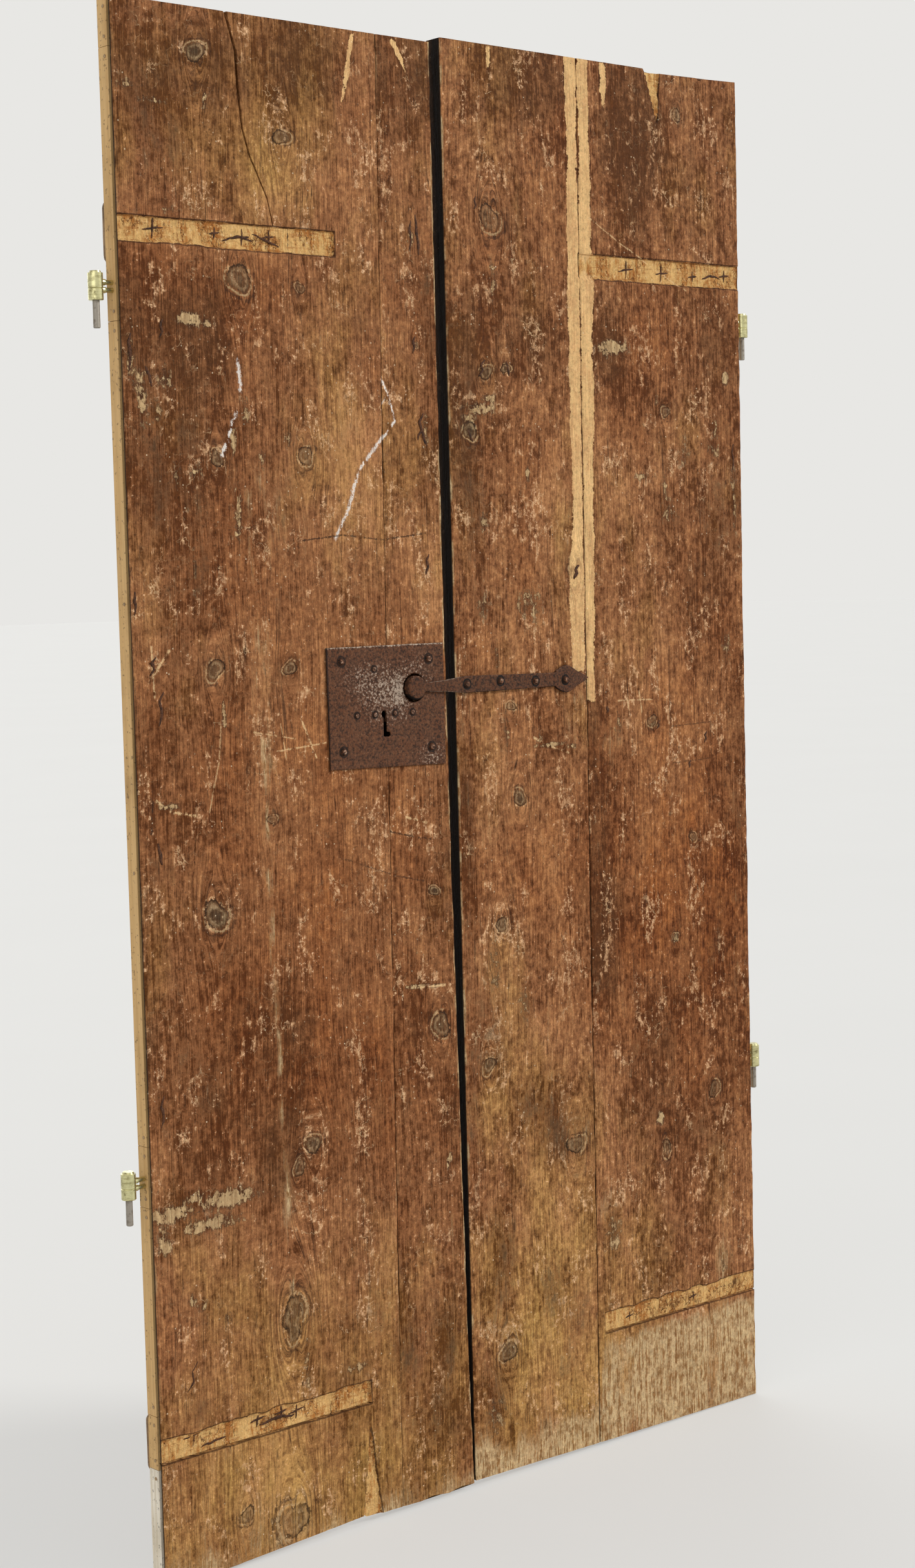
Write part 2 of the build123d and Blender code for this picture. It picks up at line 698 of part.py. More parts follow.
# Lock plate with its L-shaped keyhole and the hole for the strap's boss
with BuildPart() as lock_plate:
    with BuildSketch(left_face):
        with BuildLine():
            Polyline(
                (plate_left, plate_top),
                (plate_left + plate_skew / 2, plate_foot + plate_skew / 2),
                (plate_right, plate_foot - plate_skew / 2),
                (plate_right, plate_top),
                close=True,
            )
        make_face()
        with Locations((boss_x, boss_height)):
            Circle(boss_hole_radius, mode=Mode.SUBTRACT)
        with Locations((key_x, keyhole_height)):
            Circle(keyhole_head_radius, mode=Mode.SUBTRACT)
        with Locations((key_x + 1, keyhole_height - keyhole_drop / 2)):
            Rectangle(keyhole_slot_width, keyhole_drop, mode=Mode.SUBTRACT)
        foot_x = key_x + 1 - keyhole_slot_width / 2 + keyhole_foot_length / 2
        with Locations((foot_x, keyhole_height - keyhole_drop + keyhole_foot_height / 2)):
            Rectangle(keyhole_foot_length, keyhole_foot_height, mode=Mode.SUBTRACT)
        with Locations(*plate_nails_at):
            Rectangle(nail_shank + 2 * fit_gap, nail_shank + 2 * fit_gap, mode=Mode.SUBTRACT)
        with Locations(*rivet_row_at, spring_rivet_at):
            Circle(rivet_radius + fit_gap, mode=Mode.SUBTRACT)
    extrude(amount=plate_thickness)
lock_plate.part.label = "lock_plate"
export_step(lock_plate.part, "parts/lock_plate.step")


# Corner nails of the plate, square shanks under hammered heads
with BuildPart() as plate_nails:
    with BuildSketch(left_face.offset(plate_thickness)):
        with Locations(*plate_nails_at):
            Rectangle(nail_shank, nail_shank)
    extrude(amount=-nail_length - plate_thickness)
    with BuildSketch(left_face.offset(plate_thickness)):
        with Locations(*plate_nails_at):
            RegularPolygon(nail_head_radius, nail_head_facets)
    extrude(amount=nail_head, taper=nail_head_taper)
plate_nails.part.label = "plate_nails"
export_step(plate_nails.part, "parts/plate_nails.step")


# Rivets of the works: four in a row beside the keyhole and one for the spring
with BuildPart() as lock_rivets:
    spring_back = bolt_setback + spring_width
    rivet_groups = [
        (rivet_row_at[1:3], guide_foot),
        (outer_rivets_at, 2 * guide_foot),
        ([spring_rivet_at], spring_back),
    ]
    for places, back in rivet_groups:
        with BuildSketch(left_face.offset(plate_thickness)):
            with Locations(*places):
                RegularPolygon(rivet_radius, rivet_facets)
        extrude(amount=-plate_thickness - back)
        with BuildSketch(left_face.offset(plate_thickness)):
            with Locations(*places):
                RegularPolygon(rivet_head_radius, rivet_facets)
        extrude(amount=rivet_head, taper=nail_head_taper)
        with BuildSketch(left_face.offset(-back)):
            with Locations(*places):
                RegularPolygon(rivet_head_radius, rivet_facets)
        extrude(amount=-rivet_tail)
lock_rivets.part.label = "lock_rivets"
export_step(lock_rivets.part, "parts/lock_rivets.step")


# Bolt, drawn back, with a bevelled nose and the talon that the key's bit catches
with BuildPart() as lock_bolt:
    bolt_foot = boss_height - bolt_height / 2
    bolt_crown = boss_height + bolt_height / 2
    talon_x = bolt_tail + bolt_talon_from_tail
    with BuildSketch(left_face.offset(-bolt_setback)):
        with BuildLine():
            Polyline(
                (bolt_tail, bolt_foot),
                (talon_x - bolt_talon_width / 2, bolt_foot),
                (talon_x - bolt_talon_width / 2, bolt_foot + bolt_talon_depth),
                (talon_x + bolt_talon_width / 2, bolt_foot + bolt_talon_depth),
                (talon_x + bolt_talon_width / 2, bolt_foot),
                (bolt_nose - bolt_nose_bevel, bolt_foot),
                (bolt_nose, bolt_foot + bolt_nose_bevel),
                (bolt_nose, bolt_crown - bolt_nose_bevel),
                (bolt_nose - bolt_nose_bevel, bolt_crown),
                (bolt_tail, bolt_crown),
                close=True,
            )
        make_face()
    extrude(amount=-bolt_thickness)
lock_bolt.part.label = "lock_bolt"
export_step(lock_bolt.part, "parts/lock_bolt.step")


# Bolt guides: stays leaning in from the outer rivets, with a window for the bolt
with BuildPart() as bolt_guides:
    for (foot_x, foot_z), lean in zip(outer_rivets_at, (guide_lean, -guide_lean)):
        half = guide_width / 2
        with BuildSketch(left_face):
            with BuildLine():
                Polyline(
                    (foot_x - half, foot_z - half),
                    (foot_x + half, foot_z - half),
                    (foot_x + half, foot_z + half),
                    (foot_x + lean + half, bolt_foot - half),
                    (foot_x + lean + half, bolt_crown + guide_cap),
                    (foot_x + lean - half, bolt_crown + guide_cap),
                    (foot_x + lean - half, bolt_foot - half),
                    (foot_x - half, foot_z + half),
                    close=True,
                )
            make_face()
        extrude(amount=-guide_depth)
    with BuildSketch(left_face.offset(-guide_foot)):
        with Locations(*outer_rivets_at):
            Rectangle(3 * guide_width, 2 * guide_width)
    extrude(amount=-guide_depth, mode=Mode.SUBTRACT)
    with BuildSketch(left_face.offset(guide_clearance - bolt_setback)):
        with Locations(((bolt_tail + bolt_nose) / 2, boss_height)):
            Rectangle(2 * bolt_length, bolt_height + 2 * guide_clearance)
    extrude(amount=-bolt_thickness - 2 * guide_clearance, mode=Mode.SUBTRACT)
    with BuildSketch(left_face):
        with Locations(*outer_rivets_at):
            Circle(rivet_radius + fit_gap)
    extrude(amount=-guide_foot, mode=Mode.SUBTRACT)
bolt_guides.part.label = "bolt_guides"
export_step(bolt_guides.part, "parts/bolt_guides.step")


# Key bridge: a strip behind the keyhole that carries the key's end, clear of its bit
with BuildPart() as key_bridge:
    half = guide_width / 2
    start_x = left_edge_x + outer_rivets_at[0][0] - half
    end_x = left_edge_x + outer_rivets_at[1][0] + half
    inner_left = start_x + 2 * half + key_bridge_thickness
    inner_right = end_x - 2 * half - key_bridge_thickness
    foot_y = front_y + guide_foot
    back_y = front_y + key_bridge_depth
    with BuildSketch(Plane.XY.offset(sill_z + keyhole_height - key_bridge_height / 2)):
        with BuildLine():
            Polyline(
                (start_x, foot_y),
                (start_x, foot_y + guide_foot),
                (inner_left - key_bridge_thickness, foot_y + guide_foot),
                (inner_left - key_bridge_thickness, back_y),
                (inner_right + key_bridge_thickness, back_y),
                (inner_right + key_bridge_thickness, foot_y + guide_foot),
                (end_x, foot_y + guide_foot),
                (end_x, foot_y),
                (inner_right, foot_y),
                (inner_right, back_y - key_bridge_thickness),
                (inner_left, back_y - key_bridge_thickness),
                (inner_left, foot_y),
                close=True,
            )
        make_face()
    extrude(amount=key_bridge_height)
    with BuildSketch(left_face):
        with Locations(*outer_rivets_at):
            Circle(rivet_radius + fit_gap)
        with Locations((key_x, keyhole_height)):
            Circle(key_end_radius)
    extrude(amount=-key_bridge_depth, mode=Mode.SUBTRACT)
key_bridge.part.label = "key_bridge"
export_step(key_bridge.part, "parts/key_bridge.step")


# Key ward: a rim round the keyhole on a base held by the inner rivets
with BuildPart() as key_ward:
    inner_rivets_at = rivet_row_at[1:3]
    base_left = inner_rivets_at[0][0] - guide_width / 2
    base_right = inner_rivets_at[1][0] + guide_width / 2
    with BuildSketch(left_face):
        with Locations(((base_left + base_right) / 2, keyhole_height)):
            Rectangle(base_right - base_left, guide_width)
        with Locations((key_x, keyhole_height)):
            Circle(key_ward_radius + key_ward_wall)
            Circle(keyhole_head_radius + guide_clearance, mode=Mode.SUBTRACT)
        with Locations(*inner_rivets_at):
            Circle(rivet_radius + fit_gap, mode=Mode.SUBTRACT)
    extrude(amount=-guide_foot)
    with BuildSketch(left_face.offset(-guide_foot)):
        with Locations((key_x, keyhole_height)):
            Circle(key_ward_radius + key_ward_wall)
            Circle(key_ward_radius, mode=Mode.SUBTRACT)
    extrude(amount=guide_foot - key_ward_rim)
    with BuildSketch(left_face):
        with Locations((key_x + 1, keyhole_height - keyhole_drop / 2)):
            Rectangle(key_ward_gap, keyhole_drop)
    extrude(amount=-key_ward_rim, mode=Mode.SUBTRACT)
key_ward.part.label = "key_ward"
export_step(key_ward.part, "parts/key_ward.step")


# Bolt spring: an eye on its rivet and a bowed leaf that bears on the bolt
with BuildPart() as bolt_spring:
    eye_radius = rivet_radius + fit_gap + spring_eye_wall
    eye_x, eye_z = spring_rivet_at
    leaf_end = (eye_x + spring_reach, bolt_crown + spring_gap + spring_thickness / 2)
    with BuildSketch(left_face.offset(-bolt_setback)):
        with BuildLine() as leaf_line:
            Bezier(
                (eye_x, eye_z + eye_radius - spring_thickness / 2),
                (eye_x + spring_reach / 2, eye_z + eye_radius),
                leaf_end,
            )
        trace(line_width=spring_thickness)
        with Locations(spring_rivet_at):
            Circle(eye_radius)
            Circle(rivet_radius + fit_gap, mode=Mode.SUBTRACT)
    extrude(amount=-spring_width)
bolt_spring.part.label = "bolt_spring"
export_step(bolt_spring.part, "parts/bolt_spring.step")


# Strap: a bar on the right leaf, a spear point, and a waist over the meeting edges
lap_y = front_y - plate_thickness - strap_lap_gap
strap_front = plate_thickness + strap_lap_gap + strap_thickness
point_tip = strap_bar_length + strap_point_reach
point_mid = boss_height - strap_bar_drop


def strap_side(way):
    """One long side of the strap from its boss to the end of the bar, above (1) or below (-1)."""
    return [
        (boss_u, boss_height + way * strap_waist_height / 2),
        (-strap_waist_reach, boss_height + way * strap_waist_height / 2),
        (-strap_neck_reach, boss_height + way * strap_neck_height / 2),
        (strap_bar_start, boss_height + way * strap_bar_height / 2),
        (strap_bar_length, point_mid + way * strap_bar_end_height / 2),
    ]


def point_side(way):
    """One side of the spear point from the end of the bar to the tip, above (1) or below (-1)."""
    swell = way * strap_point_height / 2
    return [
        (strap_bar_length, point_mid + way * strap_bar_end_height / 2),
        (strap_bar_length + strap_point_swell / 2, point_mid + strap_point_neck * swell),
        (strap_bar_length + strap_point_swell, point_mid + swell),
        (strap_bar_length + 2 * strap_point_swell, point_mid + strap_point_waist * swell),
        (point_tip, point_mid),
    ]


with BuildPart() as strap:
    with BuildSketch(Plane.XY.offset(sill_z + boss_height - strap_point_height)):
        with BuildLine():
            Polyline(
                (free_edge_x + boss_u - boss_radius, lap_y),
                (free_edge_x - strap_bend_reach, lap_y),
                (free_edge_x + 1, front_y),
                (free_edge_x + point_tip + 1, front_y),
                (free_edge_x + point_tip + 1, front_y - strap_thickness / 2),
                (free_edge_x + strap_bar_length, front_y - strap_thickness),
                (free_edge_x + 3, front_y - strap_thickness),
                (free_edge_x - strap_bend_reach, lap_y - strap_thickness),
                (free_edge_x + boss_u - boss_radius, lap_y - strap_thickness),
                close=True,
            )
        make_face()
    extrude(amount=2 * strap_point_height)
    with BuildSketch(right_face.offset(plate_thickness + 4 * strap_thickness)):
        with BuildLine():
            Polyline(*reversed(strap_side(1)), *strap_side(-1))
            Spline(*point_side(-1), tangents=[(1, -1), (1, 0.5)])
            Spline(*point_side(1), tangents=[(1, 1), (1, -0.5)])
        make_face()
    extrude(amount=-8 * strap_thickness, mode=Mode.INTERSECT)
    with BuildSketch(right_face.offset(-boss_plug)):
        with Locations((boss_u, boss_height)):
            Circle(boss_radius)
    extrude(amount=boss_plug + strap_front)
    with BuildSketch(right_face.offset(strap_front)):
        with Locations((boss_u, boss_height)):
            Circle(boss_radius)
    extrude(amount=boss_crown, taper=boss_crown_taper)
    with BuildSketch(right_face.offset(-boss_plug)):
        with Locations(*staple_legs_at):
            Rectangle(staple_bar + 2 * fit_gap, staple_leg + 2 * fit_gap)
    extrude(amount=staple_root + fit_gap, mode=Mode.SUBTRACT)
    with BuildSketch(right_face):
        with Locations(*strap_nails_at):
            Rectangle(nail_shank + 2 * fit_gap, nail_shank + 2 * fit_gap)
    extrude(amount=2 * strap_thickness, mode=Mode.SUBTRACT)
strap.part.label = "strap"
export_step(strap.part, "parts/strap.step")


# Staple: a bow rooted in the back of the boss, which the bolt passes through
with BuildPart() as strap_staple:
    with BuildSketch(right_face.offset(staple_root - boss_plug)):
        with Locations(*staple_legs_at):
            Rectangle(staple_bar, staple_leg)
    extrude(amount=-(staple_root + staple_depth))
    with BuildSketch(right_face.offset(-boss_plug - staple_depth)):
        with Locations((boss_u, boss_height)):
            Rectangle(staple_bar, 2 * staple_half_spread + staple_leg)
    extrude(amount=-staple_back)
strap_staple.part.label = "strap_staple"
export_step(strap_staple.part, "parts/strap_staple.step")


# Nails of the strap: three with hammered heads, one with a square head
with BuildPart() as strap_nails:
    with BuildSketch(right_face.offset(strap_thickness)):
        with Locations(*strap_nails_at):
            Rectangle(nail_shank, nail_shank)
    extrude(amount=-nail_length - strap_thickness)
    with BuildSketch(right_face.offset(strap_thickness)):
        with Locations(*[strap_nails_at[i] for i in (0, 1, 3)]):
            RegularPolygon(nail_head_radius, nail_head_facets)
        with Locations(strap_nails_at[2]):
            Rectangle(square_nail_side, square_nail_side)
    extrude(amount=nail_head, taper=nail_head_taper)
strap_nails.part.label = "strap_nails"
export_step(strap_nails.part, "parts/strap_nails.step")
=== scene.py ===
"""Barn door of two plank leaves with a strap lock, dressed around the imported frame."""

import math

import bpy
import numpy as np
from bpy.props import FloatProperty, FloatVectorProperty, IntProperty, PointerProperty
from mathutils import Matrix, Vector


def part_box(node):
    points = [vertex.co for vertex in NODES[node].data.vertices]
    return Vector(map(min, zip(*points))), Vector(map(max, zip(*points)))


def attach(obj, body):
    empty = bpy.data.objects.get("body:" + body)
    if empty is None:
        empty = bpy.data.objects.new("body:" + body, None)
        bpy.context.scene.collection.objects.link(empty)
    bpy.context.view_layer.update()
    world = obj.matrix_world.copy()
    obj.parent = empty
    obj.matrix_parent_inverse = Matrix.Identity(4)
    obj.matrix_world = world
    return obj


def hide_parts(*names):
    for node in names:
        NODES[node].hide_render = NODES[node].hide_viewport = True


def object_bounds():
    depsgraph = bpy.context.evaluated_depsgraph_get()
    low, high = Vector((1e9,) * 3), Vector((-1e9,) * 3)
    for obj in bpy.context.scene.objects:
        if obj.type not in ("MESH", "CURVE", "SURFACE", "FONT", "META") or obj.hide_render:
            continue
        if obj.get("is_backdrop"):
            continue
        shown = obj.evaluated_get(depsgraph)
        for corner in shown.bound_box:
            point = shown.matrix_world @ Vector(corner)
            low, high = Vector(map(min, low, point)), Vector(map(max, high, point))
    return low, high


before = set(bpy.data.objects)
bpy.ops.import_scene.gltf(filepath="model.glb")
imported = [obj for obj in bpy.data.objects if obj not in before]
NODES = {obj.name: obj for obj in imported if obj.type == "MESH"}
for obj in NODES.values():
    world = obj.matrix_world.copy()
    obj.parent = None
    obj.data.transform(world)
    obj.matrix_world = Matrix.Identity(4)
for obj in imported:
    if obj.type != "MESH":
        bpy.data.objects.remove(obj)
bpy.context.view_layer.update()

bl_info = {
    "name": "Barn door",
    "version": (1, 0, 0),
    "blender": (4, 5, 0),
    "location": "3D View > Sidebar > Barn door",
    "description": "Dresses a pair of old plank door leaves with worn stained wood, iron and brass",
    "category": "Object",
}

MM = 0.001

# Places that the frame gives: the left edge of each leaf, their front and foot, and the lock plate
LEFT_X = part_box("left_wide_board")[0].x
RIGHT_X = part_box("right_inner_board")[0].x
FRONT_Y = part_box("right_inner_board")[0].y
SILL_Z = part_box("left_wide_board")[0].z
PLATE_LOW, PLATE_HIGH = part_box("lock_plate")
# From the left leaf's edge to the right leaf's, in millimetres
LEAF_SHIFT = (RIGHT_X - LEFT_X) / MM
# Thickness of the boards in millimetres
THICKNESS = 28.0

# Colour of the studio's wall, with the colour and strength of the light from all round
STUDIO = (232, 231, 228)
SKY = (0.96, 0.98, 1.0, 1.0)
SKY_STRENGTH = 0.5
# Half width of the floor
FLOOR_REACH = 60.0
# Where the camera stands, with the directions that it looks in and that run to its right
CAMERA_PLACE = (-1.6921, -2.5568, 0.7573)
CAMERA_FORWARD = (0.65517, 0.75093, -0.08277)
CAMERA_RIGHT = (0.75188, -0.65881, -0.02553)


# Smooth noise in numbers

def lattice(ix, iz, seed):
    """One number from -1 to 1 for each corner of a grid."""
    n = (ix * 374761393 + iz * 668265263 + seed * 974634777) & 0xFFFFFFFF
    n = ((n ^ (n >> 13)) * 1274126177) & 0xFFFFFFFF
    n = ((n ^ (n >> 15)) * 2246822519) & 0xFFFFFFFF
    return ((n ^ (n >> 16)) & 0xFFFF) / 32767.5 - 1.0


def waver(x, z, seed):
    """Smooth noise from -1 to 1 over a plane."""
    x, z = np.broadcast_arrays(np.asarray(x, float), np.asarray(z, float))
    ix, iz = np.floor(x).astype(np.int64), np.floor(z).astype(np.int64)
    fx, fz = x - ix, z - iz
    fx, fz = fx * fx * (3 - 2 * fx), fz * fz * (3 - 2 * fz)
    low = lattice(ix, iz, seed) * (1 - fx) + lattice(ix + 1, iz, seed) * fx
    high = lattice(ix, iz + 1, seed) * (1 - fx) + lattice(ix + 1, iz + 1, seed) * fx
    return low * (1 - fz) + high * fz


def rough(x, z, seed, octaves=4):
    """Noise with finer and finer ripples added."""
    total, size = 0.0, 1.0
    for octave in range(octaves):
        total = total + size * waver(x * 2**octave, z * 2**octave, seed + 17 * octave)
        size *= 0.5
    return total / 1.6


def ease(low, high, value):
    """Smooth step from 0 below low to 1 above high."""
    t = np.clip((value - low) / (high - low), 0, 1)
    return t * t * (3 - 2 * t)


# Shader maths

class Value:
    """A number that varies over a surface, with arithmetic that adds Math nodes."""

    def __init__(self, nodes, socket):
        self.nodes = nodes
        self.socket = socket

    def math(self, operation, *others, clamp=False):
        settings = {"operation": operation, "use_clamp": clamp}
        return self.nodes.node("ShaderNodeMath", settings, dict(enumerate((self, *others)))).value(0)

    def __add__(self, other):
        return self.math("ADD", other)

    __radd__ = __add__

    def __sub__(self, other):
        return self.math("SUBTRACT", other)

    def __rsub__(self, number):
        return self.nodes.node("ShaderNodeMath", {"operation": "SUBTRACT"}, {0: number, 1: self}).value(0)

    def __mul__(self, other):
        return self.math("MULTIPLY", other)

    __rmul__ = __mul__

    def __pow__(self, other):
        return self.math("POWER", other)

    def __abs__(self):
        return self.math("ABSOLUTE")

    def sine(self):
        return self.math("SINE")

    def low(self, other):
        return self.math("MINIMUM", other)

    def held(self):
        """The value kept from 0 to 1."""
        return self.math("ADD", 0.0, clamp=True)

    def between(self, low, high):
        """0 below low, 1 above high and a smooth step in between."""
        return self.nodes.node(
            "ShaderNodeMapRange", {"interpolation_type": "SMOOTHSTEP"},
            {"Value": self, "From Min": low, "From Max": high},
        ).value("Result")

    def near(self, level, half):
        """1 at the level, falling to 0 at half above or below it."""
        return 1 - abs(self - level).between(half * 0.35, half)


class Added:
    """A node just added, with its outputs at hand."""

    def __init__(self, nodes, made):
        self.nodes = nodes
        self.made = made

    def value(self, output):
        return Value(self.nodes, self.made.outputs[output])

    def link(self, output):
        return self.made.outputs[output]


class Nodes:
    """A node tree that is built up as expressions."""

    def __init__(self, tree):
        self.tree = tree
        tree.nodes.clear()

    def feed(self, socket, item):
        if isinstance(item, Value):
            self.tree.links.new(item.socket, socket)
        elif isinstance(item, bpy.types.NodeSocket):
            self.tree.links.new(item, socket)
        elif item is not None:
            socket.default_value = item

    def node(self, kind, settings=None, inputs=None):
        """Adds a node of a type: its settings first, then what goes into its sockets."""
        made = self.tree.nodes.new(kind)
        for name, setting in (settings or {}).items():
            setattr(made, name, setting)
        for name, item in (inputs or {}).items():
            self.feed(made.inputs[name], item)
        return Added(self, made)

    def stored(self, name):
        """A field that the mesh holds."""
        return self.node("ShaderNodeAttribute", {"attribute_name": name})

    def parts(self, vector):
        split = self.node("ShaderNodeSeparateXYZ", None, {"Vector": vector})
        return [split.value(axis) for axis in "XYZ"]

    def vector(self, x, y, z):
        return self.node("ShaderNodeCombineXYZ", None, {"X": x, "Y": y, "Z": z}).link("Vector")

    def noise(self, vector, scale=1.0, detail=2.0, roughness=0.5, flat=False):
        return self.node(
            "ShaderNodeTexNoise", {"noise_dimensions": "2D" if flat else "3D"},
            {"Vector": vector, "Scale": scale, "Detail": detail, "Roughness": roughness},
        ).value("Fac")

    def stretched(self, vector, scales, detail=2.0, roughness=0.5, shift=0.0):
        """Noise with a scale of its own along each axis; two scales make it flat."""
        flat = len(scales) == 2
        moved = self.node(
            "ShaderNodeMapping", None,
            {"Vector": vector, "Location": (shift, shift * 0.7, shift * 1.3), "Scale": (*scales, 1.0)[:3]},
        ).link("Vector")
        return self.noise(moved, 1.0, detail, roughness, flat)

    def dots(self, scale, low, high):
        """Small round specks: 1 in their middle."""
        cells = self.node("ShaderNodeTexVoronoi", None, {"Vector": self.place, "Scale": scale})
        return 1 - cells.value("Distance").between(low, high)

    def mix(self, first, second, factor):
        """A colour between two colours."""
        return self.node(
            "ShaderNodeMix", {"data_type": "RGBA"}, {0: factor, 6: tint(first), 7: tint(second)},
        ).link(2)

    def vectors(self, operation, first, second):
        """Maths on a vector and another vector, or the number that scales it."""
        other = "Scale" if operation == "SCALE" else 1
        return self.node("ShaderNodeVectorMath", {"operation": operation}, {0: first, other: second})

    def times(self, colour, factors):
        """A colour with a factor for each of its channels."""
        return self.vectors("MULTIPLY", colour, factors).link(0)

    def shade(self, colour, factor):
        """A colour made darker or brighter by a factor."""
        return self.vectors("SCALE", colour, factor).link(0)

    def stroke(self, places, width, wobble):
        """A thin line on the front through places given across and up in the frame."""
        flat = self.vectors("MULTIPLY", self.place, (1, 0, 1)).link(0)
        nearest = None
        for start, end in zip(places, places[1:]):
            first = Vector((start[0], 0, start[1]))
            run = Vector((end[0], 0, end[1])) - first
            off = self.vectors("SUBTRACT", flat, first).link(0)
            along = self.vectors("DOT_PRODUCT", off, run / run.length_squared).value("Value").held()
            step = self.vectors("SCALE", run, along).link(0)
            gap = self.vectors("DISTANCE", off, step).value("Value")
            nearest = gap if nearest is None else nearest.low(gap)
        return 1 - (nearest + wobble * width).between(width * 0.3, width)

    def bump(self, height, distance, strength):
        return self.node(
            "ShaderNodeBump", None, {"Height": height, "Distance": distance, "Strength": strength},
        ).link("Normal")


class Finish(Nodes):
    """A procedural material."""

    def __init__(self, name, sheen=0.3):
        self.material = bpy.data.materials.new(name)
        self.material.use_nodes = True
        super().__init__(self.material.node_tree)
        self.shader = self.node("ShaderNodeBsdfPrincipled", None, {"Specular IOR Level": sheen})
        self.node("ShaderNodeOutputMaterial", None, {0: self.shader.link(0)})
        self.place = self.node("ShaderNodeTexCoord").link("Object")

    def wear(self, colour, roughness, normal=None, metallic=None):
        inputs = {
            "Base Color": tint(colour), "Roughness": roughness, "Metallic": metallic, "Normal": normal,
        }
        for name, item in inputs.items():
            self.feed(self.shader.made.inputs[name], item)
        return self.material


def tint(colour):
    """A colour written as red, green and blue from 0 to 255 on a screen, as the shader needs it."""
    if not isinstance(colour, tuple):
        return colour
    channels = []
    for level in colour[:3]:
        share = level / 255.0
        channels.append(share / 12.92 if share <= 0.04045 else ((share + 0.055) / 1.055) ** 2.4)
    return (*channels, 1.0)


# Sizes and colours that a user may change

def colour_of(name, description, red, green, blue):
    return FloatVectorProperty(
        name=name, description=description, subtype="COLOR_GAMMA", size=3, min=0.0, max=1.0,
        default=(red / 255, green / 255, blue / 255),
    )


class DoorSizes(bpy.types.PropertyGroup):
    column_pitch: FloatProperty(
        name="Column pitch", description="Distance between the mesh columns of the widest board, in metres",
        default=0.0034, min=0.001, unit="LENGTH",
    )
    bed_depth: FloatProperty(
        name="Bed depth", description="Depth of the strap hinges' old beds in metres",
        default=0.003, min=0.0, unit="LENGTH",
    )
    kerf_depth: FloatProperty(
        name="Kerf depth", description="Depth of the saw kerf along each bed in metres",
        default=0.007, min=0.0, unit="LENGTH",
    )
    relief: FloatProperty(
        name="Grain relief", description="Height of the weathered grain in metres",
        default=0.0006, min=0.0, unit="LENGTH",
    )
    lens: FloatProperty(
        name="Lens", description="Focal length of the camera", default=59.235, min=10.0, unit="CAMERA",
    )


class DoorFinishes(bpy.types.PropertyGroup):
    stain_dark: colour_of("Dark stain", "Stain where it is thickest", 90, 50, 22)
    stain_mid: colour_of("Stain", "Usual colour of the stain", 139, 91, 57)
    worn_gold: colour_of("Worn stain", "Wood where the stain is rubbed thin", 178, 126, 82)
    pale_wood: colour_of("Pale wood", "Fresh wood in the beds and under old strips", 206, 164, 104)
    bleached: colour_of("Bleached wood", "Grey-tan wood near the foot", 208, 180, 136)
    # The grime colour also paints the side walls through the mould mask, there as painted shade
    grime_and_shade: colour_of("Grime", "Dark mould and dirt", 54, 41, 28)
    lath_wood: colour_of("New wood", "New laths in the hinge edges", 206, 168, 114)
    rust: colour_of("Rust", "Usual colour of the iron", 86, 57, 40)
    brass: colour_of("Brass", "Yellow plating of the hinge barrels", 212, 206, 156)
    seed: IntProperty(name="Seed", description="Start of the random draws", default=7, min=0)


def finishes():
    return bpy.context.scene.door_finishes


def ink(name):
    """A finish's colour as levels from 0 to 255."""
    return tuple(channel * 255 for channel in getattr(finishes(), name))


# Places in millimetres, across from the left hinge edge and above the sill

PLATE_NAILS = [(310.4, 1116.5), (454.4, 1114.5), (310.4, 1002.5), (456.4, 1000.5)]
LOCK_RIVETS = [(362.9, 1105), (333.4, 1047), (362.9, 1047), (395.9, 1047), (425.4, 1047)]
NAIL_RING = 6.4
RIVET_RING = 4.4
STRAP_NAILS = [(518.5, 1078.4), (577.5, 1080), (641, 1076.6), (696.5, 1075.8)]

# Heights of the leaves' tops
LEFT_TOP = 1900.0
RIGHT_TOP = 1908.0

# Knots as place across, height, radius and darkness
LEFT_KNOTS = [
    (118, 1848, 15, 0.9), (243, 1759, 13, 0.5), (172, 1585, 16, 0.6), (265, 1578, 8, 0.2),
    (131, 1369, 11, 0.5), (265, 1373, 14, 0.3), (118, 1115, 14, 0.6), (232, 1112, 10, 0.7),
    (196, 927, 8, 0.2), (107, 817, 17, 0.9), (462, 634, 16, 0.5), (245, 512, 15, 0.7),
    (207, 303, 20, 0.4), (124, 63, 11, 0.3), (197, 37, 22, 0.1), (456, 812, 9, 0.9),
    (449, 1516, 5, 0.6), (205, 280, 12, 0.6), (222, 485, 10, 0.3),
]
RIGHT_KNOTS = [
    (569, 1485, 12, 0.7), (604, 1491, 9, 0.8), (539, 1408, 11, 0.8), (725, 1221, 12, 0.9),
    (611, 921, 12, 0.8), (573, 754, 12, 0.6), (545, 568, 12, 0.6), (568, 172, 15, 0.5),
    (701, 435, 17, 0.45), (582, 1684, 17, 0.1), (937, 1851, 9, 0.5), (905, 700, 8, 0.3),
    (980, 470, 12, 0.2), (866, 1010, 9, 0.3), (905, 1440, 8, 0.3), (600, 1045, 9, 0.4),
    (944, 840, 9, 0.3), (880, 400, 10, 0.3),
]


def course(*points):
    """A height or distance that follows a list of points."""
    places, levels = zip(*points)
    return lambda value: np.interp(value, places, levels)


def bowed_edge(height):
    """The left leaf's free edge, which bows out towards the foot."""
    share = np.clip((1500.0 - height) / 1500.0, 0, 1)
    return 484.5 + 15.5 * share**2


def box_inside(x, z, x0, x1, z0, z1):
    """Distance inside a rectangle, negative outside."""
    return np.minimum(np.minimum(x - x0, x1 - x), np.minimum(z - z0, z1 - z))


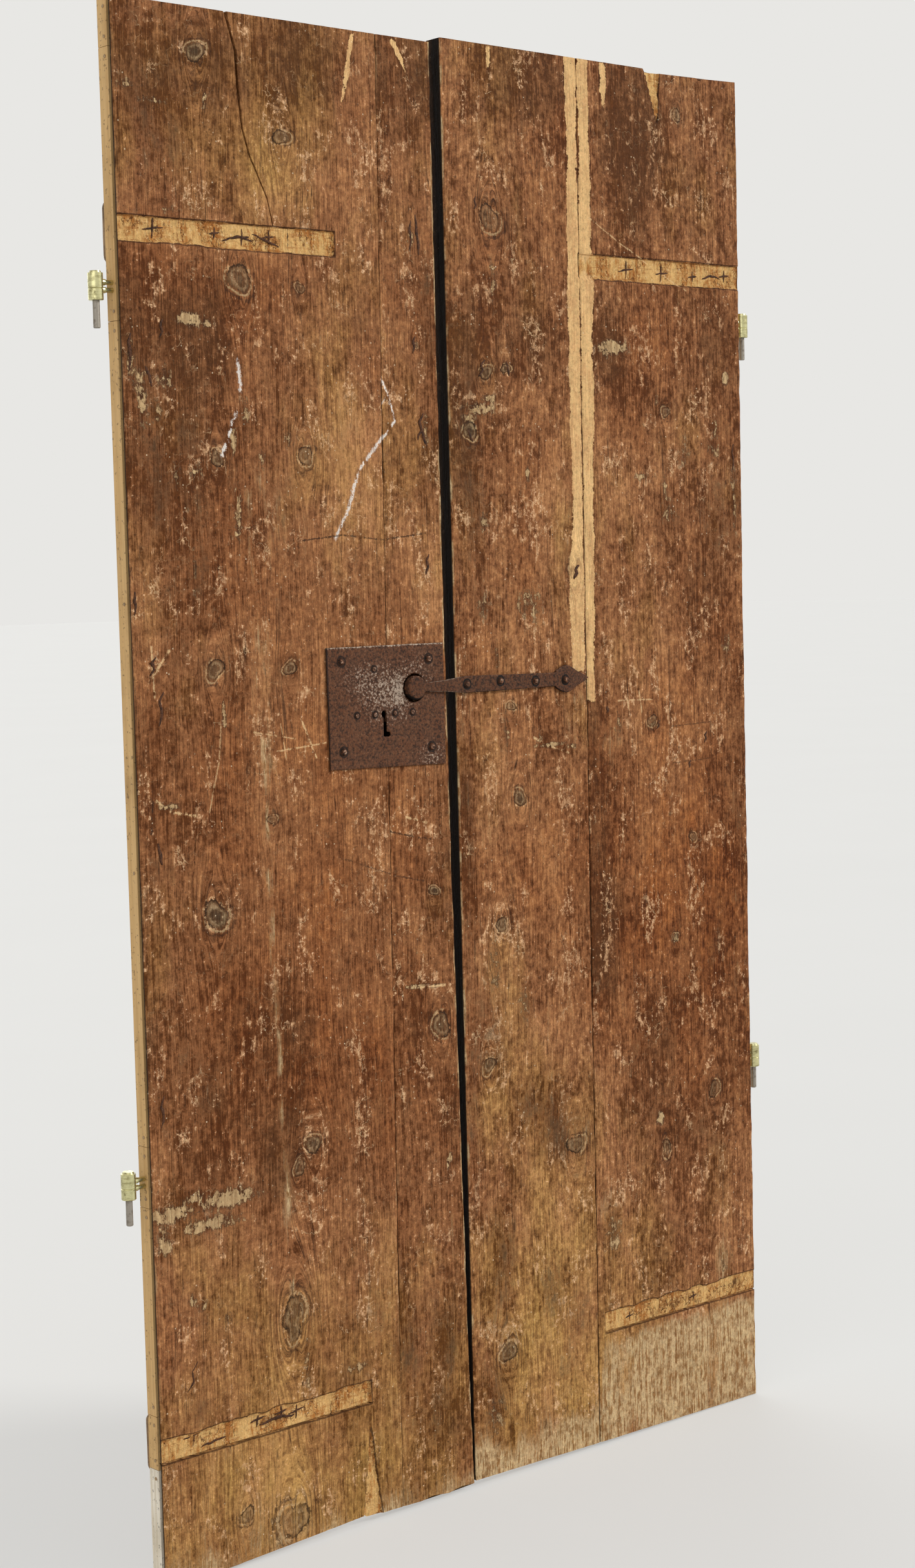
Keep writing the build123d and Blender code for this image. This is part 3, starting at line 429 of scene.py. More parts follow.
def wedge_inside(x, z, base_left, base_right, base_z, apex_x, apex_z):
    """Distance inside a long splinter that narrows from its base to its apex."""
    share = (z - base_z) / (apex_z - base_z)
    left = base_left + (apex_x - base_left) * share
    right = base_right + (apex_x - base_right) * share
    ends = np.minimum(share, 1 - share) * abs(apex_z - base_z)
    return np.minimum(np.minimum(x - left, right - x), ends)


def lifts(x, z, places):
    """Broad zones of more or less of something.

    Each is a place across, a height, a half width, a half height and a lift.
    """
    total = np.zeros_like(x)
    for px, pz, half_x, half_z, lift in places:
        total += lift * np.exp(-(((x - px) / half_x) ** 2) - ((z - pz) / half_z) ** 2)
    return total


def threads(x, z, places):
    """Long soft lines up a board, each as places across and up, a half width and a strength."""
    total = np.zeros_like(x)
    for number, (points, half, strength) in enumerate(places):
        across, heights = zip(*points)
        off = x - np.interp(z, heights, across) - 5.0 * rough(z / 90, z * 0 + number, 12, 4)
        ends = ease(heights[0] - 20, heights[0] + 20, z) * ease(heights[-1] + 20, heights[-1] - 20, z)
        uneven = np.clip(0.7 + 0.8 * rough(z / 40, x / 30, 19 + number, 3), 0, 1.2)
        total = np.maximum(total, strength * np.exp(-(off / half) ** 2) * ends * uneven)
    return total


def spots(x, z, places):
    """Soft patches, each as place across, height, half width, half height and strength."""
    total = np.zeros_like(x)
    for px, pz, half_x, half_z, strength in places:
        reach = ((x - px) / half_x) ** 2 + ((z - pz) / half_z) ** 2
        total = np.maximum(total, strength * np.exp(-reach))
    return total


# Recessed beds with the side that is torn, and lost splinters with their base and apex
LEFT_BEDS = [
    ("rect", 0, 321, 1620, 1650, "foot"),
    ("rect", 0, 327, 158, 188, "top"),
    ("wedge", 309, 341, 2, 325, 125),
]
RIGHT_BEDS = [
    ("rect", 742, 1058, 1617, 1649, "foot"),
    ("rect", 751, 1058, 158, 187, "top"),
    ("wedge", 874, 905, 1912, 899, 1837),
]
# Pale strips beside the right leaf's joint, as heights with the places of both sides
LEFT_STRIP = [
    (1085, 712, 738), (1232, 714, 739), (1328, 721, 741),
    (1607, 720, 743), (1712, 723, 743), (1912, 722, 745),
]
RIGHT_STRIP = [
    (1044, 739, 755), (1328, 740, 762), (1484, 742, 766),
    (1610, 744, 768), (1703, 745, 765), (1912, 748, 765),
]
# The pale line of the heart in the wide left board
HEART = [
    (207, 320), (204, 415), (196, 523), (195, 629), (189, 779),
    (191, 904), (184, 1063), (179, 1237), (169, 1330),
]
# Streaks of bare wood, as places across and up of foot and top, and a half width
BARE_STREAKS = [
    (586, 1864, 586, 1906, 4.5), (794, 1844, 794, 1908, 6.0),
    (340, 1812, 358, 1896, 3.6), (450, 1848, 422, 1898, 5.0),
]


def strip_inside(x, z, sides):
    """Distance inside a pale strip."""
    heights = [row[0] for row in sides]
    left = np.interp(z, heights, [row[1] for row in sides])
    right = np.interp(z, heights, [row[2] for row in sides])
    ends = np.minimum(z - heights[0], heights[-1] - z)
    return np.minimum(np.minimum(x - left, right - x), ends)


def bed_inside(x, z, beds, seed):
    """Distance inside the recessed beds and lost splinters, with their torn sides."""
    nearest = np.full_like(x, -50.0)
    torn = rough(x / 26, z / 60, seed, 4)
    for bed in beds:
        if bed[0] == "rect":
            x0, x1, z0, z1 = bed[1:5]
            torn_side = 5.0 * np.clip(torn, -0.2, 1.0) * ease(x0, x0 + 40, x) * ease(x1, x1 - 60, x)
            if bed[5] == "foot":
                inside = box_inside(x, z, x0, x1, z0 + 0.4 * torn_side, z1)
            else:
                inside = box_inside(x, z, x0, x1, z0, z1 - torn_side)
        else:
            inside = wedge_inside(x, z, *bed[1:])
        nearest = np.maximum(nearest, inside)
    return nearest


def pale_fields(x, z, beds, strips, seed):
    """Distances inside the bare wood of the beds, and of the strips and streaks."""
    nearest = np.full_like(x, -50.0)
    ragged = rough(x / 8, z / 30, seed + 3, 4) * 2.4 + rough(x / 60, z / 120, seed + 4, 3) * 2.4
    for sides in strips:
        nearest = np.maximum(nearest, strip_inside(x, z, sides) + ragged)
    for foot_x, foot, top_x, top, half in BARE_STREAKS:
        across = np.interp(z, (foot, top), (foot_x, top_x))
        reach = np.minimum(half * ease(foot, foot + 30, z) - abs(x - across), np.minimum(z - foot, top - z))
        nearest = np.maximum(nearest, reach + 0.5 * ragged)
    return np.clip(bed_inside(x, z, beds, seed), -30, 30), np.clip(nearest, -30, 30)


def grain_of(x, z, knots, seed):
    """Across-grain place, bent round the knots, and the count of growth rings crossed."""
    across = x.astype(float).copy()
    for knot_x, knot_z, radius, _ in knots:
        dx, dz = x - knot_x, (z - knot_z) / 2.6
        reach = dx * dx + dz * dz
        across -= dx * (1.2 * radius) ** 2 / (reach + (0.7 * radius) ** 2)
    drift = 34 * waver(x / 260, z / 1500, seed) + 9 * rough(x / 90, z / 520, seed + 1, 3)
    across += 3.0 * rough(x / 30, z / 170, seed + 2, 3)
    rings = (across + drift) / RING_PITCH + 1.8 * waver(across / 70, z / 380, seed + 5)
    return across, rings


def knot_field(x, z, knots):
    """Distance to the nearest knot as a share of its radius, its darkness and the bearing from it."""
    nearest = np.full(x.shape, 3.0)
    shade = np.zeros(x.shape)
    turn = np.zeros(x.shape)
    for number, (knot_x, knot_z, radius, darkness) in enumerate(knots):
        dx, dz = x - knot_x, (z - knot_z) / (1.0 + 0.3 * lattice(number, 3, 5))
        bearing = np.arctan2(dz, dx)
        uneven = 1 + 0.16 * np.sin(2 * bearing + number) + 0.09 * np.sin(3 * bearing + 2.3 * number)
        reach = np.hypot(dx, dz) / (radius * uneven)
        closer = reach < nearest
        nearest = np.where(closer, reach, nearest)
        shade = np.where(closer, darkness, shade)
        turn = np.where(closer, np.sin(bearing + 1.7 * number), turn)
    return nearest, shade, turn


# Columns along each edge of a board's face: how far in they lie, how far they are rubbed down,
# and how far the even columns keep away
RIM = np.array([0.0, 1.1, 2.6])
RIM_DROP = np.array([1.5, 0.5, 0.1])
RIM_CLEAR = 3.6
# Pitch of the columns on the back
BACK_PITCH = 13.0
# How far up and down the worn ends reach
FOOT_REACH = 60.0
TOP_REACH = 40.0
# A face is what lies less deep than this
FACE_DEPTH = 12.0
# Height at which a board's width is measured, and where across it the columns run that follow a crack
MEASURED_HEIGHT = 900.0
CRACK_SHARE = 0.46
# Edges with a sharper bend than this stay sharp in the shading
SHARP_ANGLE = math.radians(38)
# Distance between growth rings, and the angle that stands for one of them
RING_PITCH = 6.5
FULL_TURN = 6.2832


class Plank:
    """A board as one closed mesh: rows up its length, each a loop round its section.

    left and right give its sides at a height, foot and top its ends at a place across, all in
    millimetres from the leaf's corner. knots, beds, strips, marks and worn_edges tell how it has worn.
    """

    def __init__(self, name, left, right, foot, top, leaf_x, seed, knots, beds, strips, marks, worn_edges):
        self.name = name
        self.left = left
        self.right = right
        self.foot = foot
        self.top = top
        self.leaf_x = leaf_x
        self.seed = seed
        self.knots = knots
        self.beds = beds
        self.strips = strips
        self.marks = marks
        self.worn_edges = worn_edges

    def rows(self, pitch, high, exact):
        """Heights of the rows, with exact ones where a cut starts or ends."""
        heights = np.linspace(0.0, high, int(round(high / pitch)) + 1)
        for place in exact:
            near = abs(heights - place) > 0.45 * pitch
            near[0] = near[-1] = True
            heights = np.append(heights[near], place)
        return np.unique(np.sort(heights))

    def build(self, pitch, exact_rows, front, left_side, right_side, split=None):
        """Builds the mesh with columns at the pitch and rows at it too, and at exact_rows.

        front gives the depth of the face. left_side and right_side list insets and depths round the
        edges, from front to back. split is a crack's path and half width, which columns then follow.
        """
        high = self.top(0.0)
        heights = self.rows(pitch, high, exact_rows)
        width = float(self.right(MEASURED_HEIGHT) - self.left(MEASURED_HEIGHT))
        shares = np.linspace(0, 1, int(round(width / pitch)) + 1)[1:-1]
        clear = (shares > RIM_CLEAR / width) & (shares < 1 - RIM_CLEAR / width)
        shares = np.concatenate([RIM / width, shares[clear], 1 - RIM[::-1] / width])
        left = self.left(heights)[:, None]
        right = self.right(heights)[:, None]
        x = left + (right - left) * shares[None, :]
        if split is not None:
            x = self.follow(x, heights, *split)
        z = self.fit_ends(x, np.repeat(heights[:, None], len(shares), 1), high)
        depth = front(x, z, self.seed)
        depth[:, :3] += RIM_DROP * self.rubbed(z[:, :1], 22, 8)
        depth[:, -3:] += RIM_DROP[::-1] * self.rubbed(z[:, :1], 25, 9)
        back_shares = np.linspace(1, 0, max(6, int(width / BACK_PITCH)))
        back_x = left + (right - left) * back_shares[None, :]
        back_x = np.clip(back_x, left + left_side[-1][0], right - right_side[-1][0])
        back_z = self.fit_ends(back_x, np.repeat(heights[:, None], len(back_shares), 1), high)
        back_depth = THICKNESS - housings(back_x, back_z)
        columns = [(x, depth, z)]
        columns += [self.wall(right - inset, level, heights, high) for inset, level in right_side]
        columns.append((back_x[:, 1:-1], back_depth[:, 1:-1], back_z[:, 1:-1]))
        columns += [self.wall(left + inset, level, heights, high) for inset, level in reversed(left_side)]
        return self.mesh(*(np.concatenate(fields, axis=1) for fields in zip(*columns)))

    def rubbed(self, z, size, seed):
        """How much an edge is rubbed down, row by row."""
        return np.clip(0.6 + 0.7 * rough(z / size, z * 0 + self.seed, self.seed + seed, 4), 0.25, 2.2)

    def wall(self, x, level, heights, high):
        """One column down an edge, at a level between front and back."""
        return x, np.full_like(x, level), self.fit_ends(x, heights[:, None], high)

    def fit_ends(self, x, z, high):
        """Fits the lowest and highest rows to the worn ends of the board."""
        foot_share = np.clip(1 - z / FOOT_REACH, 0, 1)
        top_share = np.clip(1 - (high - z) / TOP_REACH, 0, 1)
        return z + self.foot(x) * foot_share + (self.top(x) - high) * top_share

    def follow(self, x, heights, path, half):
        """Moves the columns so that four of them run along a crack."""
        left, right = x[:, :1], x[:, -1:]
        shares = (x - left) / (right - left)
        start = x[0, 0] + (x[0, -1] - x[0, 0]) * CRACK_SHARE
        middle = np.argmin(abs(x[len(heights) // 2] - start))
        fixed = [0, *shares[0, middle - 2:middle + 2], 1]
        followed = np.empty_like(x)
        for row, (centre, side) in enumerate(zip(path(heights), half(heights))):
            lips = [centre - side - 0.5, centre - side + 0.1, centre + side - 0.1, centre + side + 0.5]
            followed[row] = np.interp(shares[row], fixed, [left[row, 0], *lips, right[row, 0]])
        return followed

    def mesh(self, x, depth, z):
        """Joins the rows into quads, closes both ends and stores the board's fields."""
        rows, columns = x.shape
        points = np.stack([
            self.leaf_x + x * MM, FRONT_Y + depth * MM, SILL_Z + z * MM,
        ], axis=-1).reshape(-1, 3)
        here = np.arange(rows * columns).reshape(rows, columns)
        beside = np.roll(here, -1, axis=1)
        quads = np.stack([here[:-1], beside[:-1], beside[1:], here[1:]], axis=-1).reshape(-1, 4)
        made = bpy.data.meshes.new(self.name)
        corners = np.concatenate([quads.ravel(), here[0, ::-1], here[-1]])
        starts = np.concatenate([np.arange(len(quads)) * 4, [len(quads) * 4, len(quads) * 4 + columns]])
        made.vertices.add(len(points))
        made.vertices.foreach_set("co", points.astype(np.float32).ravel())
        made.loops.add(len(corners))
        made.loops.foreach_set("vertex_index", corners.astype(np.int32))
        made.polygons.add(len(starts))
        made.polygons.foreach_set("loop_start", starts.astype(np.int32))
        made.update(calc_edges=True)
        made.validate()
        self.store_fields(made, x.ravel(), depth.ravel(), z.ravel())
        made.shade_smooth()
        made.set_sharp_from_angle(angle=SHARP_ANGLE)
        return place(bpy.data.objects.new(self.name, made))

    def store_fields(self, made, x, depth, z):
        """Stores what the stained wood reads.

        grain holds the places across and along the grain and the growth rings, pale the distance inside
        bare wood, knot the distance, darkness and bearing of the nearest knot, tone how bleached, grimy
        and red the wood is, with painted shade on the side walls in its grimy channel, and field how thin
        the stain is, where it flaked and where the wood is torn.
        """
        leaf_x = x + (self.leaf_x - LEFT_X) / MM
        across, rings = grain_of(leaf_x, z, self.knots, self.seed)
        put_vectors(made, "grain", (across + depth * 0.8) * MM, z * MM, rings)
        faced = depth < FACE_DEPTH
        beds, strips = pale_fields(leaf_x, z, self.beds, self.strips, self.seed)
        put_numbers(made, "pale", np.where(faced, np.maximum(beds, strips), -30) * MM)
        put_vectors(made, "knot", *knot_field(leaf_x, z, self.knots))
        bleach, dark, red, chip, lift = (field * faced for field in self.marks(leaf_x, z))
        bleach = bleach + 0.5 * ~faced * ease(160, 0, z)
        patch = 0.47 + 0.40 * rough(leaf_x / 95, z / 170, self.seed + 31, 5) + lift
        off_edge = np.minimum(x - self.left(z), self.right(z) - x)
        worn = ease(5.0, 1.0, off_edge) * ease(-0.5, 0.4, rough(z / 38, x / 200, self.seed + 33, 4))
        bleach = np.maximum(bleach, worn * faced * self.worn_edges(leaf_x))
        # Painted shade: every side wall gets twice the grime, which the stain paints near black for the
        # shade in the gaps between boards and leaves
        side = ease(1.2, 3.2, depth) * ease(THICKNESS - 0.4, THICKNESS - 1.2, depth) * (off_edge < 0.6)
        put_vectors(made, "tone", bleach, np.maximum(dark, side * 2), red)
        put_vectors(made, "field", patch, chip, (strips > beds) * 1.0)


def place(piece):
    """Puts a new piece into the scene."""
    bpy.context.scene.collection.objects.link(piece)
    return piece


def put_numbers(mesh, name, numbers):
    """Stores a number at each point of a mesh."""
    field = mesh.attributes.new(name, "FLOAT", "POINT")
    field.data.foreach_set("value", np.asarray(numbers, np.float32).ravel())


def put_vectors(mesh, name, *parts):
    """Stores three numbers at each point of a mesh."""
    field = mesh.attributes.new(name, "FLOAT_VECTOR", "POINT")
    field.data.foreach_set("vector", np.stack(parts, axis=-1).astype(np.float32).ravel())


def broken(x, z, seed):
    """Uneven strength for soft patches."""
    return 0.75 + 0.5 * rough(x / 42, z / 90, seed, 4)


def left_marks(x, z):
    """Bleaching, grime, redness and flaked places of the left leaf."""
    bleach = 0.55 * ease(60, 0, z) + 0.25 * ease(320, 120, z)
    bleach = np.maximum(bleach, spots(x, z, [
        (330, 1440, 60, 120, 0.30), (380, 1700, 60, 110, 0.22), (200, 1240, 26, 130, 0.55),
        (240, 1700, 40, 120, 0.2), (120, 240, 90, 60, 0.3), (440, 1100, 60, 90, 0.15),
        (430, 350, 50, 80, 0.25), (197, 400, 14, 90, 0.5), (195, 1000, 16, 120, 0.4),
        (20, 1430, 14, 70, 0.5), (455, 1655, 14, 40, 0.3), (453, 1420, 14, 40, 0.3),
        (150, 470, 14, 60, 0.4), (240, 600, 10, 60, 0.35), (470, 330, 14, 90, 0.4),
        (425, 930, 40, 30, 0.35), (20, 1080, 26, 60, 0.35), (196, 1180, 22, 120, 0.35),
        (60, 430, 60, 30, 0.4),
    ]))
    bleach = np.maximum(bleach, threads(x, z, [
        (HEART, 5.0, 0.95), ([(373, 250), (377, 600)], 3.5, 0.7),
        ([(196, 1090), (186, 1150), (177, 1290), (172, 1340)], 9.0, 0.6),
    ]))
    dark = spots(x, z, [
        (60, 1780, 90, 120, 0.25), (60, 1350, 60, 110, 0.35), (100, 1200, 90, 160, 0.25),
        (170, 1700, 50, 30, 0.25), (250, 1290, 50, 90, 0.3), (470, 1600, 24, 260, 0.25),
        (462, 1100, 20, 80, 0.4), (60, 650, 70, 120, 0.25), (390, 210, 26, 60, 0.6),
        (425, 130, 40, 60, 0.55), (455, 200, 20, 60, 0.5), (200, 640, 60, 90, 0.2), (330, 300, 50, 90, 0.3),
        (18, 588, 8, 34, 0.6), (150, 25, 50, 20, 0.3), (250, 30, 60, 26, 0.3), (60, 215, 30, 26, 0.3),
        (200, 640, 30, 50, 0.2), (20, 900, 12, 60, 0.3), (195, 1634, 60, 9, 0.45), (60, 1634, 20, 8, 0.35),
        (180, 174, 60, 9, 0.5), (60, 178, 26, 9, 0.4),
    ])
    dark = np.maximum(dark, threads(x - 9.0, z, [(HEART, 4.0, 0.4)]))
    red = lifts(x, z, [
        (250, 950, 260, 260, 0.35), (140, 640, 160, 180, 0.55), (380, 600, 120, 200, 0.4),
        (100, 1560, 120, 60, 0.35), (120, 1250, 90, 110, 0.3), (230, 1560, 60, 50, 0.3),
        (250, 60, 320, 180, -0.85), (260, 300, 220, 120, -0.4), (330, 1340, 60, 160, -0.3),
        (130, 1790, 240, 110, -0.45), (430, 1300, 40, 160, -0.25), (205, 1720, 26, 90, -0.3),
    ])
    chip = spots(x, z, [
        (95, 1533, 24, 9, 0.75), (120, 1530, 12, 6, 0.6), (45, 1423, 8, 18, 0.6), (24, 1440, 9, 44, 0.6),
        (60, 1462, 16, 12, 0.5), (156, 1393, 6, 22, 0.75), (72, 1345, 6, 22, 0.6), (28, 462, 34, 12, 0.85),
        (110, 466, 46, 12, 0.85), (80, 440, 46, 10, 0.8), (15, 432, 10, 26, 0.75), (60, 476, 30, 9, 0.7),
        (42, 954, 22, 5, 0.75), (128, 1060, 4, 26, 0.6), (425, 690, 26, 3, 0.7), (455, 688, 14, 3, 0.6),
        (160, 1300, 7, 34, 0.6), (52, 350, 8, 9, 0.65), (66, 340, 12, 8, 0.6), (104, 318, 10, 8, 0.5),
        (470, 452, 9, 14, 0.5), (226, 230, 6, 40, 0.5), (310, 210, 26, 6, 0.45), (240, 1395, 8, 12, 0.55),
        (176, 1420, 8, 20, 0.5), (445, 1650, 6, 20, 0.5), (462, 1410, 6, 24, 0.5), (200, 1370, 8, 14, 0.5),
        (100, 1352, 10, 12, 0.55), (92, 1240, 3, 60, 0.4), (450, 1010, 10, 20, 0.3), (10, 1480, 6, 40, 0.5),
        (60, 1785, 30, 5, 0.5), (16, 1800, 14, 6, 0.55), (130, 1790, 4, 16, 0.6), (70, 1660, 10, 7, 0.55),
        (170, 45, 14, 8, 0.5),
    ])
    lift = lifts(x, z, [
        (340, 1340, 70, 170, 0.34), (150, 80, 190, 90, 0.40), (300, 1560, 60, 60, 0.22),
        (205, 1720, 24, 90, 0.30), (440, 1230, 50, 120, 0.22), (80, 1790, 110, 110, -0.24),
        (330, 1700, 60, 120, 0.10), (90, 1500, 90, 60, -0.18), (230, 1480, 60, 40, -0.10),
        (90, 1300, 70, 120, -0.20), (220, 1000, 90, 70, 0.18), (420, 930, 60, 60, 0.24),
        (60, 900, 60, 120, -0.14), (300, 760, 90, 120, 0.10), (120, 560, 100, 60, -0.12),
        (420, 480, 60, 120, 0.16), (250, 280, 120, 60, 0.14), (60, 320, 60, 80, 0.10),
        (430, 140, 60, 90, -0.14), (460, 1750, 30, 110, -0.10), (240, 1840, 280, 70, -0.20),
        (140, 1560, 150, 60, -0.08), (300, 1130, 120, 200, 0.14), (120, 760, 120, 200, 0.08),
    ])
    return shape_marks(x, z, bleach, dark, red, chip, lift, 31)


def right_marks(x, z):
    """Bleaching, grime, redness and flaked places of the right leaf."""
    outer = ease(738, 744, x)
    bleach = outer * (1.25 * ease(165, 125, z) + 0.22 * ease(330, 150, z))
    bleach = np.maximum(bleach, (1 - outer) * (1.0 * ease(80, 20, z) + 0.38 * ease(420, 120, z)))
    bleach = np.maximum(bleach, spots(x, z, [
        (582, 1610, 10, 50, 0.4), (760, 330, 26, 60, 0.6), (1000, 210, 26, 60, 0.4),
        (905, 700, 12, 12, 0.6), (600, 1760, 50, 110, 0.25), (700, 1000, 40, 90, 0.35),
        (780, 980, 60, 60, 0.3), (860, 1330, 60, 30, 0.3), (900, 1290, 90, 80, 0.25),
        (728, 1046, 30, 18, 0.6), (640, 300, 60, 90, 0.35), (560, 240, 40, 120, 0.35),
        (930, 1840, 40, 30, 0.3), (640, 1150, 30, 60, 0.35), (560, 880, 20, 120, 0.35),
        (700, 1330, 26, 80, 0.3), (690, 620, 30, 160, 0.3), (1030, 700, 14, 300, 0.3),
        (800, 600, 20, 200, 0.3), (990, 209, 16, 36, 0.8), (915, 105, 60, 26, 0.6),
    ]))
    bleach = np.maximum(bleach, threads(x, z, [
        ([(720, 290), (723, 330), (721, 372), (700, 392)], 5.0, 1.0),
        ([(700, 398), (716, 440), (722, 470)], 4.0, 0.8),
        ([(604, 1160), (600, 1270)], 5.0, 0.5), ([(655, 560), (650, 900)], 4.0, 0.5),
    ]))
    dark = spots(x, z, [
        (545, 1350, 34, 200, 0.35), (516, 900, 16, 260, 0.6), (540, 640, 40, 110, 0.4),
        (715, 1250, 26, 110, 0.3), (690, 440, 44, 40, 0.95), (630, 500, 50, 40, 0.6),
        (660, 470, 30, 60, 0.8), (560, 300, 26, 90, 0.6), (650, 250, 30, 60, 0.6), (700, 200, 26, 60, 0.5),
        (900, 1720, 110, 90, 0.14), (960, 1530, 80, 70, 0.18), (1000, 1300, 60, 120, 0.25),
        (640, 1700, 70, 100, 0.25), (745, 700, 12, 300, 0.3), (980, 430, 60, 140, 0.3),
        (835, 520, 60, 90, 0.25), (568, 172, 24, 30, 0.4), (545, 120, 40, 60, 0.45),
        (690, 120, 60, 40, 0.3), (600, 60, 50, 30, 0.4), (1040, 900, 14, 160, 0.3),
        (900, 172, 70, 10, 0.45), (1010, 172, 40, 9, 0.55), (850, 165, 16, 8, 0.8), (1020, 176, 14, 8, 0.8),
        (700, 400, 30, 26, 0.5), (690, 520, 20, 18, 0.4), (515, 500, 14, 200, 0.4), (700, 60, 30, 40, 0.35),
    ])
    red = lifts(x, z, [
        (920, 740, 200, 230, 1.35), (660, 860, 110, 140, 0.4), (960, 460, 110, 110, 0.35),
        (880, 1540, 160, 110, 0.35), (660, 1330, 70, 160, 0.35), (950, 1060, 120, 130, 0.3),
        (900, 1780, 160, 80, 0.2), (700, 1700, 60, 160, 0.25), (620, 160, 130, 240, -0.95),
        (700, 480, 60, 120, -0.5), (800, 330, 90, 130, -0.5), (920, 80, 200, 100, -0.5),
        (560, 560, 40, 160, -0.3), (600, 1180, 60, 90, -0.3), (620, 1450, 60, 90, -0.35),
        (580, 1820, 80, 60, -0.3), (700, 1270, 40, 90, -0.35),
    ])
    chip = spots(x, z, [
        (553, 1437, 26, 9, 0.8), (538, 1420, 14, 12, 0.7), (575, 1450, 14, 7, 0.7),
        (801, 1526, 30, 10, 0.9), (788, 1520, 8, 12, 0.6), (1027, 1491, 7, 8, 1.0), (639, 1353, 4, 13, 0.8),
        (669, 989, 30, 4, 0.75), (652, 1000, 8, 10, 0.5), (585, 1600, 6, 34, 0.55), (618, 1180, 8, 14, 0.5),
        (640, 1180, 30, 26, 0.42), (560, 1290, 8, 12, 0.6), (575, 1110, 6, 26, 0.5),
        (900, 1330, 6, 30, 0.5), (860, 1350, 20, 6, 0.5), (905, 1300, 26, 22, 0.42),
        (940, 1380, 14, 30, 0.4), (1000, 1390, 16, 14, 0.5), (1005, 1420, 8, 20, 0.5),
        (1042, 1330, 6, 60, 0.5), (886, 1460, 4, 20, 0.5), (836, 1640, 8, 6, 0.5),
        (1020, 1110, 10, 30, 0.4), (870, 1004, 16, 5, 0.5), (905, 700, 7, 8, 0.7), (590, 1010, 6, 30, 0.5),
        (800, 1010, 8, 26, 0.42), (708, 985, 10, 5, 0.6), (555, 1180, 14, 20, 0.45),
        (1000, 190, 18, 40, 0.4), (900, 880, 4, 30, 0.4), (868, 446, 8, 9, 0.95), (560, 700, 12, 40, 0.4),
        (610, 640, 14, 40, 0.38), (770, 300, 18, 40, 0.5), (545, 90, 20, 30, 0.45),
    ])
    lift = lifts(x, z, [
        (620, 210, 120, 210, 0.36), (630, 1180, 70, 120, 0.16), (640, 1560, 60, 120, -0.12),
        (620, 1800, 110, 80, -0.04), (860, 1840, 260, 60, -0.1), (700, 1290, 40, 110, 0.24),
        (600, 900, 80, 120, 0.22), (560, 700, 50, 110, 0.12), (680, 620, 50, 160, 0.22),
        (900, 1000, 120, 160, 0.14), (980, 1560, 80, 90, -0.14), (900, 700, 160, 160, -0.10),
        (900, 90, 180, 90, 0.50), (930, 300, 120, 90, 0.10), (850, 1780, 90, 90, -0.14),
        (1010, 1240, 50, 150, -0.12), (780, 1150, 40, 150, 0.16), (545, 1350, 30, 160, -0.14),
        (520, 900, 16, 260, -0.22), (640, 1130, 90, 120, 0.1), (880, 1600, 160, 160, 0.1),
        (900, 90, 180, 60, 0.2), (800, 1500, 60, 110, -0.12), (960, 500, 90, 90, -0.12),
    ])
    return shape_marks(x, z, bleach, dark, red, chip, lift, 47)


def shape_marks(x, z, bleach, dark, red, chip, lift, seed):
    """Breaks up the patches, so that none has an even outline."""
    return (
        np.clip(bleach * broken(x, z, seed), 0, 1),
        np.clip(dark * broken(x / 1.4, z / 1.6, seed + 2), 0, 1),
        np.clip(red * broken(x / 1.6, z / 2, seed + 4), -1, 1),
        chip,
        lift,
    )


def worn_left_edges(x):
    """How pale the left leaf's rubbed edges are: most at its free edge."""
    return 0.35 + 0.65 * (x > 440)


def worn_right_edges(x):
    """How pale the right leaf's rubbed edges are: none at the joint."""
    return (0.4 + 0.35 * (x < 600)) * ((x < 700) | (x > 800))


def face_depth(x, z, knots, beds, seed):
    """Depth of the front face below its plane: waves, grain, knots and beds, in millimetres."""
    sizes = bpy.context.scene.door_sizes
    across = grain_of(x, z, knots, seed)[0]
    depth = 0.35 + 0.3 * rough(x / 130, z / 420, seed + 11, 3)
    depth = depth + sizes.relief / MM * rough(across / 7.5, z / 95, seed + 12, 3)
    reach = knot_field(x, z, knots)[0]
    depth = depth + 0.5 * np.exp(-((reach - 1.0) / 0.22) ** 2) - 0.25 * ease(0.9, 0.3, reach)
    inside = bed_inside(x, z, beds, seed)
    chisel = 0.75 * rough(x / 24, z / 11, seed + 13, 3) + 0.35 * rough(x / 7, z / 30, seed + 14, 2)
    return depth + ease(-0.25, 0.35, inside) * (sizes.bed_depth / MM + chisel)


# Cuts in the boards, in millimetres on the door: middles of the ledges' housings, the saw kerfs along the
# beds, the mortise as its left, right, foot and top, and the split at the top of the wide board

LEDGE_LEVELS = (173.0, 1635.0)
HOUSING_HALF = 36.0
HOUSING_DEPTH = 9.0
KERF_LEVELS = (1650.0, 158.2)
MORTISE = ((PLATE_LOW.x - LEFT_X) / MM + 32, (PLATE_HIGH.x - LEFT_X) / MM - 14, 1012.0, 1114.0)
POCKET_DEPTH = 18.0
SPLIT_FOOT = 1651.0
SPLIT_DEPTH = 24.0
SPLIT_PATH = course(
    (0, 226), (1400, 226), (1651, 226), (1684, 218), (1734, 193), (1764, 184), (1812, 179), (1856, 177),
    (1902, 163),
)
SPLIT_HALF = course((1640, 0.35), (1651, 0.5), (1902, 1.7))
# Pitch of the columns on the front of the other boards
NARROW_PITCH = 2.4
INNER_PITCH = 2.7
OUTER_PITCH = 3.0
# Rows on both sides of each cut
BED_ROWS = [1619.6, 1620.2, 1648.6, 1649.0, 1651.0, 1651.4, 156.8, 157.2, 159.0, 159.4, 187.8, 188.4]
MORTISE_ROWS = [1011.8, 1012.2, 1113.8, 1114.2]
HOUSING_ROWS = [level + side for level in LEDGE_LEVELS for side in (-36.1, -35.9, 35.9, 36.1)]


